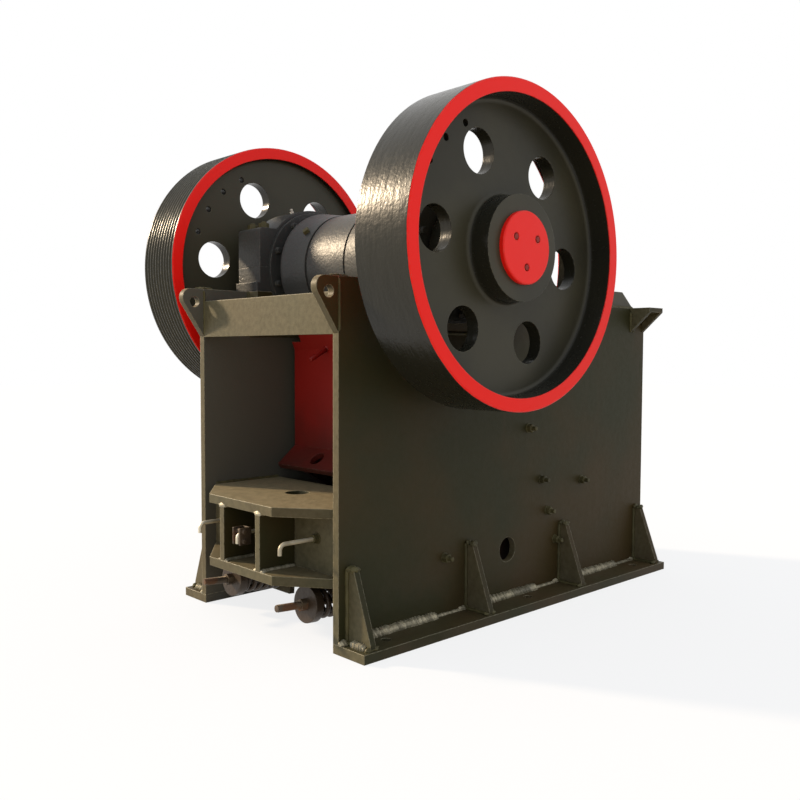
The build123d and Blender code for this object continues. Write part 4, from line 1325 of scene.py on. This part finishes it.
class Finishes(Enum):
    """Finishes of the crusher."""

    PLATE = PlatePaint("olive_plate_paint", Slot.FRAME_PAINT)
    WHEEL = WheelPaint("wheel_enamel", Slot.WHEEL_PAINT, body="323127", mild="3d3b2e", skin_share=0.7,
                       centre=tuple(SHAFT), accent_from=0.615, face_inner=0.692, face_outer=0.982,
                       gloss=0.17, specular=0.23, relief_depth=0.0007)
    RED = CastPaint("red_enamel", Slot.RED_PAINT, accent_share=1.0)
    # Painted shade: the red enamel made darker, for the bolts sunk in the end-cap counterbores and the bars
    # on the jaw's back.
    SHADED_RED = CastPaint("shaded_red_enamel", Slot.RED_PAINT, accent_share=1.0, accent="8c1a13",
                         relief_depth=0.0008)
    CASTING = CastPaint("cast_enamel", Slot.CASTING_PAINT)
    # Painted shade: the jaw's red is the wheels' red enamel made darker for the shade inside the frame.
    JAW = JawPaint("jaw_casting", Slot.RED_PAINT, centre=tuple(BARREL), accent_from=0.31, accent="8c1913")
    JAW_STEEL = BareSteel("jaw_steel", Slot.JAW_STEEL, metal="6a625a", rust_share=0.45, metallic=0.6,
                          gloss=0.45, relief_depth=0.003)
    BRIGHT = BareSteel("bare_steel", Slot.BRIGHT_STEEL)
    PULL_ROD = BareSteel("plated_steel", Slot.BRIGHT_STEEL, metal="d8d0ba", grime="8f866f", rust_share=0.2,
                         metallic=0.5)
    ROD = BareSteel("rod_steel", Slot.BRIGHT_STEEL, metal="6b5d4b", grime="2d251d", rust="5c3d25",
                    rust_share=0.5, metallic=0.55, gloss=0.36)
    CLEVIS = BareSteel("clevis_steel", Slot.BRIGHT_STEEL, metal="4a3c2c", grime="241d16", rust="4a3220",
                       rust_share=0.5, metallic=0.3, gloss=0.42)
    FASTENER = BareSteel("fastener_steel", Slot.BRIGHT_STEEL, metal="4e492f", grime="322f1d",
                         rust_share=0.25, metallic=0.0, specular=0.22, gloss=0.42)
    SPRING = CastPaint("spring_enamel", Slot.CASTING_PAINT, body="33291f", mild="3f3327",
                       relief_depth=0.0008)
    WELD = WeldMetal("weld_metal", Slot.FRAME_PAINT)
    PAINTED_WELD = WeldMetal("painted_weld_metal", Slot.FRAME_PAINT, bead="575236", painted="37331f",
                             metallic=0.0, specular=0.2)
    BRIGHT_WELD = WeldMetal("bright_weld_metal", Slot.FRAME_PAINT, bead="aba48e", painted="56523f")


FINISHED_NODES: dict[Finishes, tuple[str, ...]] = {
    Finishes.WHEEL: ("flywheel", "pulley"),
    Finishes.RED: ("flywheel_cap", "pulley_cap"),
    Finishes.JAW: ("swing_jaw", "rod_lugs"),
    Finishes.CASTING: ("barrel_covers", "swing_jaw_wedge", "toggle_seat", "bearing_base", "bearing_cap",
                       "bearing_covers"),
    Finishes.SPRING: ("tension_springs", "spring_washers"),
    Finishes.JAW_STEEL: ("fixed_jaw_plate", "swing_jaw_plate", "cheek_plates", "toggle_plate", "shim_pack"),
    Finishes.BRIGHT: ("eccentric_shaft",),
    Finishes.PULL_ROD: ("shim_handles",),
    Finishes.ROD: ("tension_rods", "rod_nuts"),
}


def dress_nodes() -> None:
    """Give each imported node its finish: plate paint, unless the table names another for it or its pair."""
    chosen = {node: finish for finish, nodes in FINISHED_NODES.items() for node in nodes}
    for name, node in FRAME["nodes"].items():
        stem = name.removesuffix("_right").removesuffix("_left")
        finish = chosen.get(stem, Finishes.PLATE).value
        for slot in node.material_slots:
            slot.material = finish.material()
        LOG.info("%s: %s", name, finish.name)


def main() -> None:
    """Dress the crusher and set the studio."""
    logging.basicConfig(level=logging.INFO, format="%(name)s %(message)s")
    dress_nodes()
    sub_assemblies = (SideWelds, BoxWelds, FrontWelds, LinerBolts, BearingFittings, WheelBolts, JawFittings,
                      BoxFittings, RodThreads, Studio)
    for sub_assembly in sub_assemblies:
        sub_assembly().build()


if __name__ == "__main__":
    main()
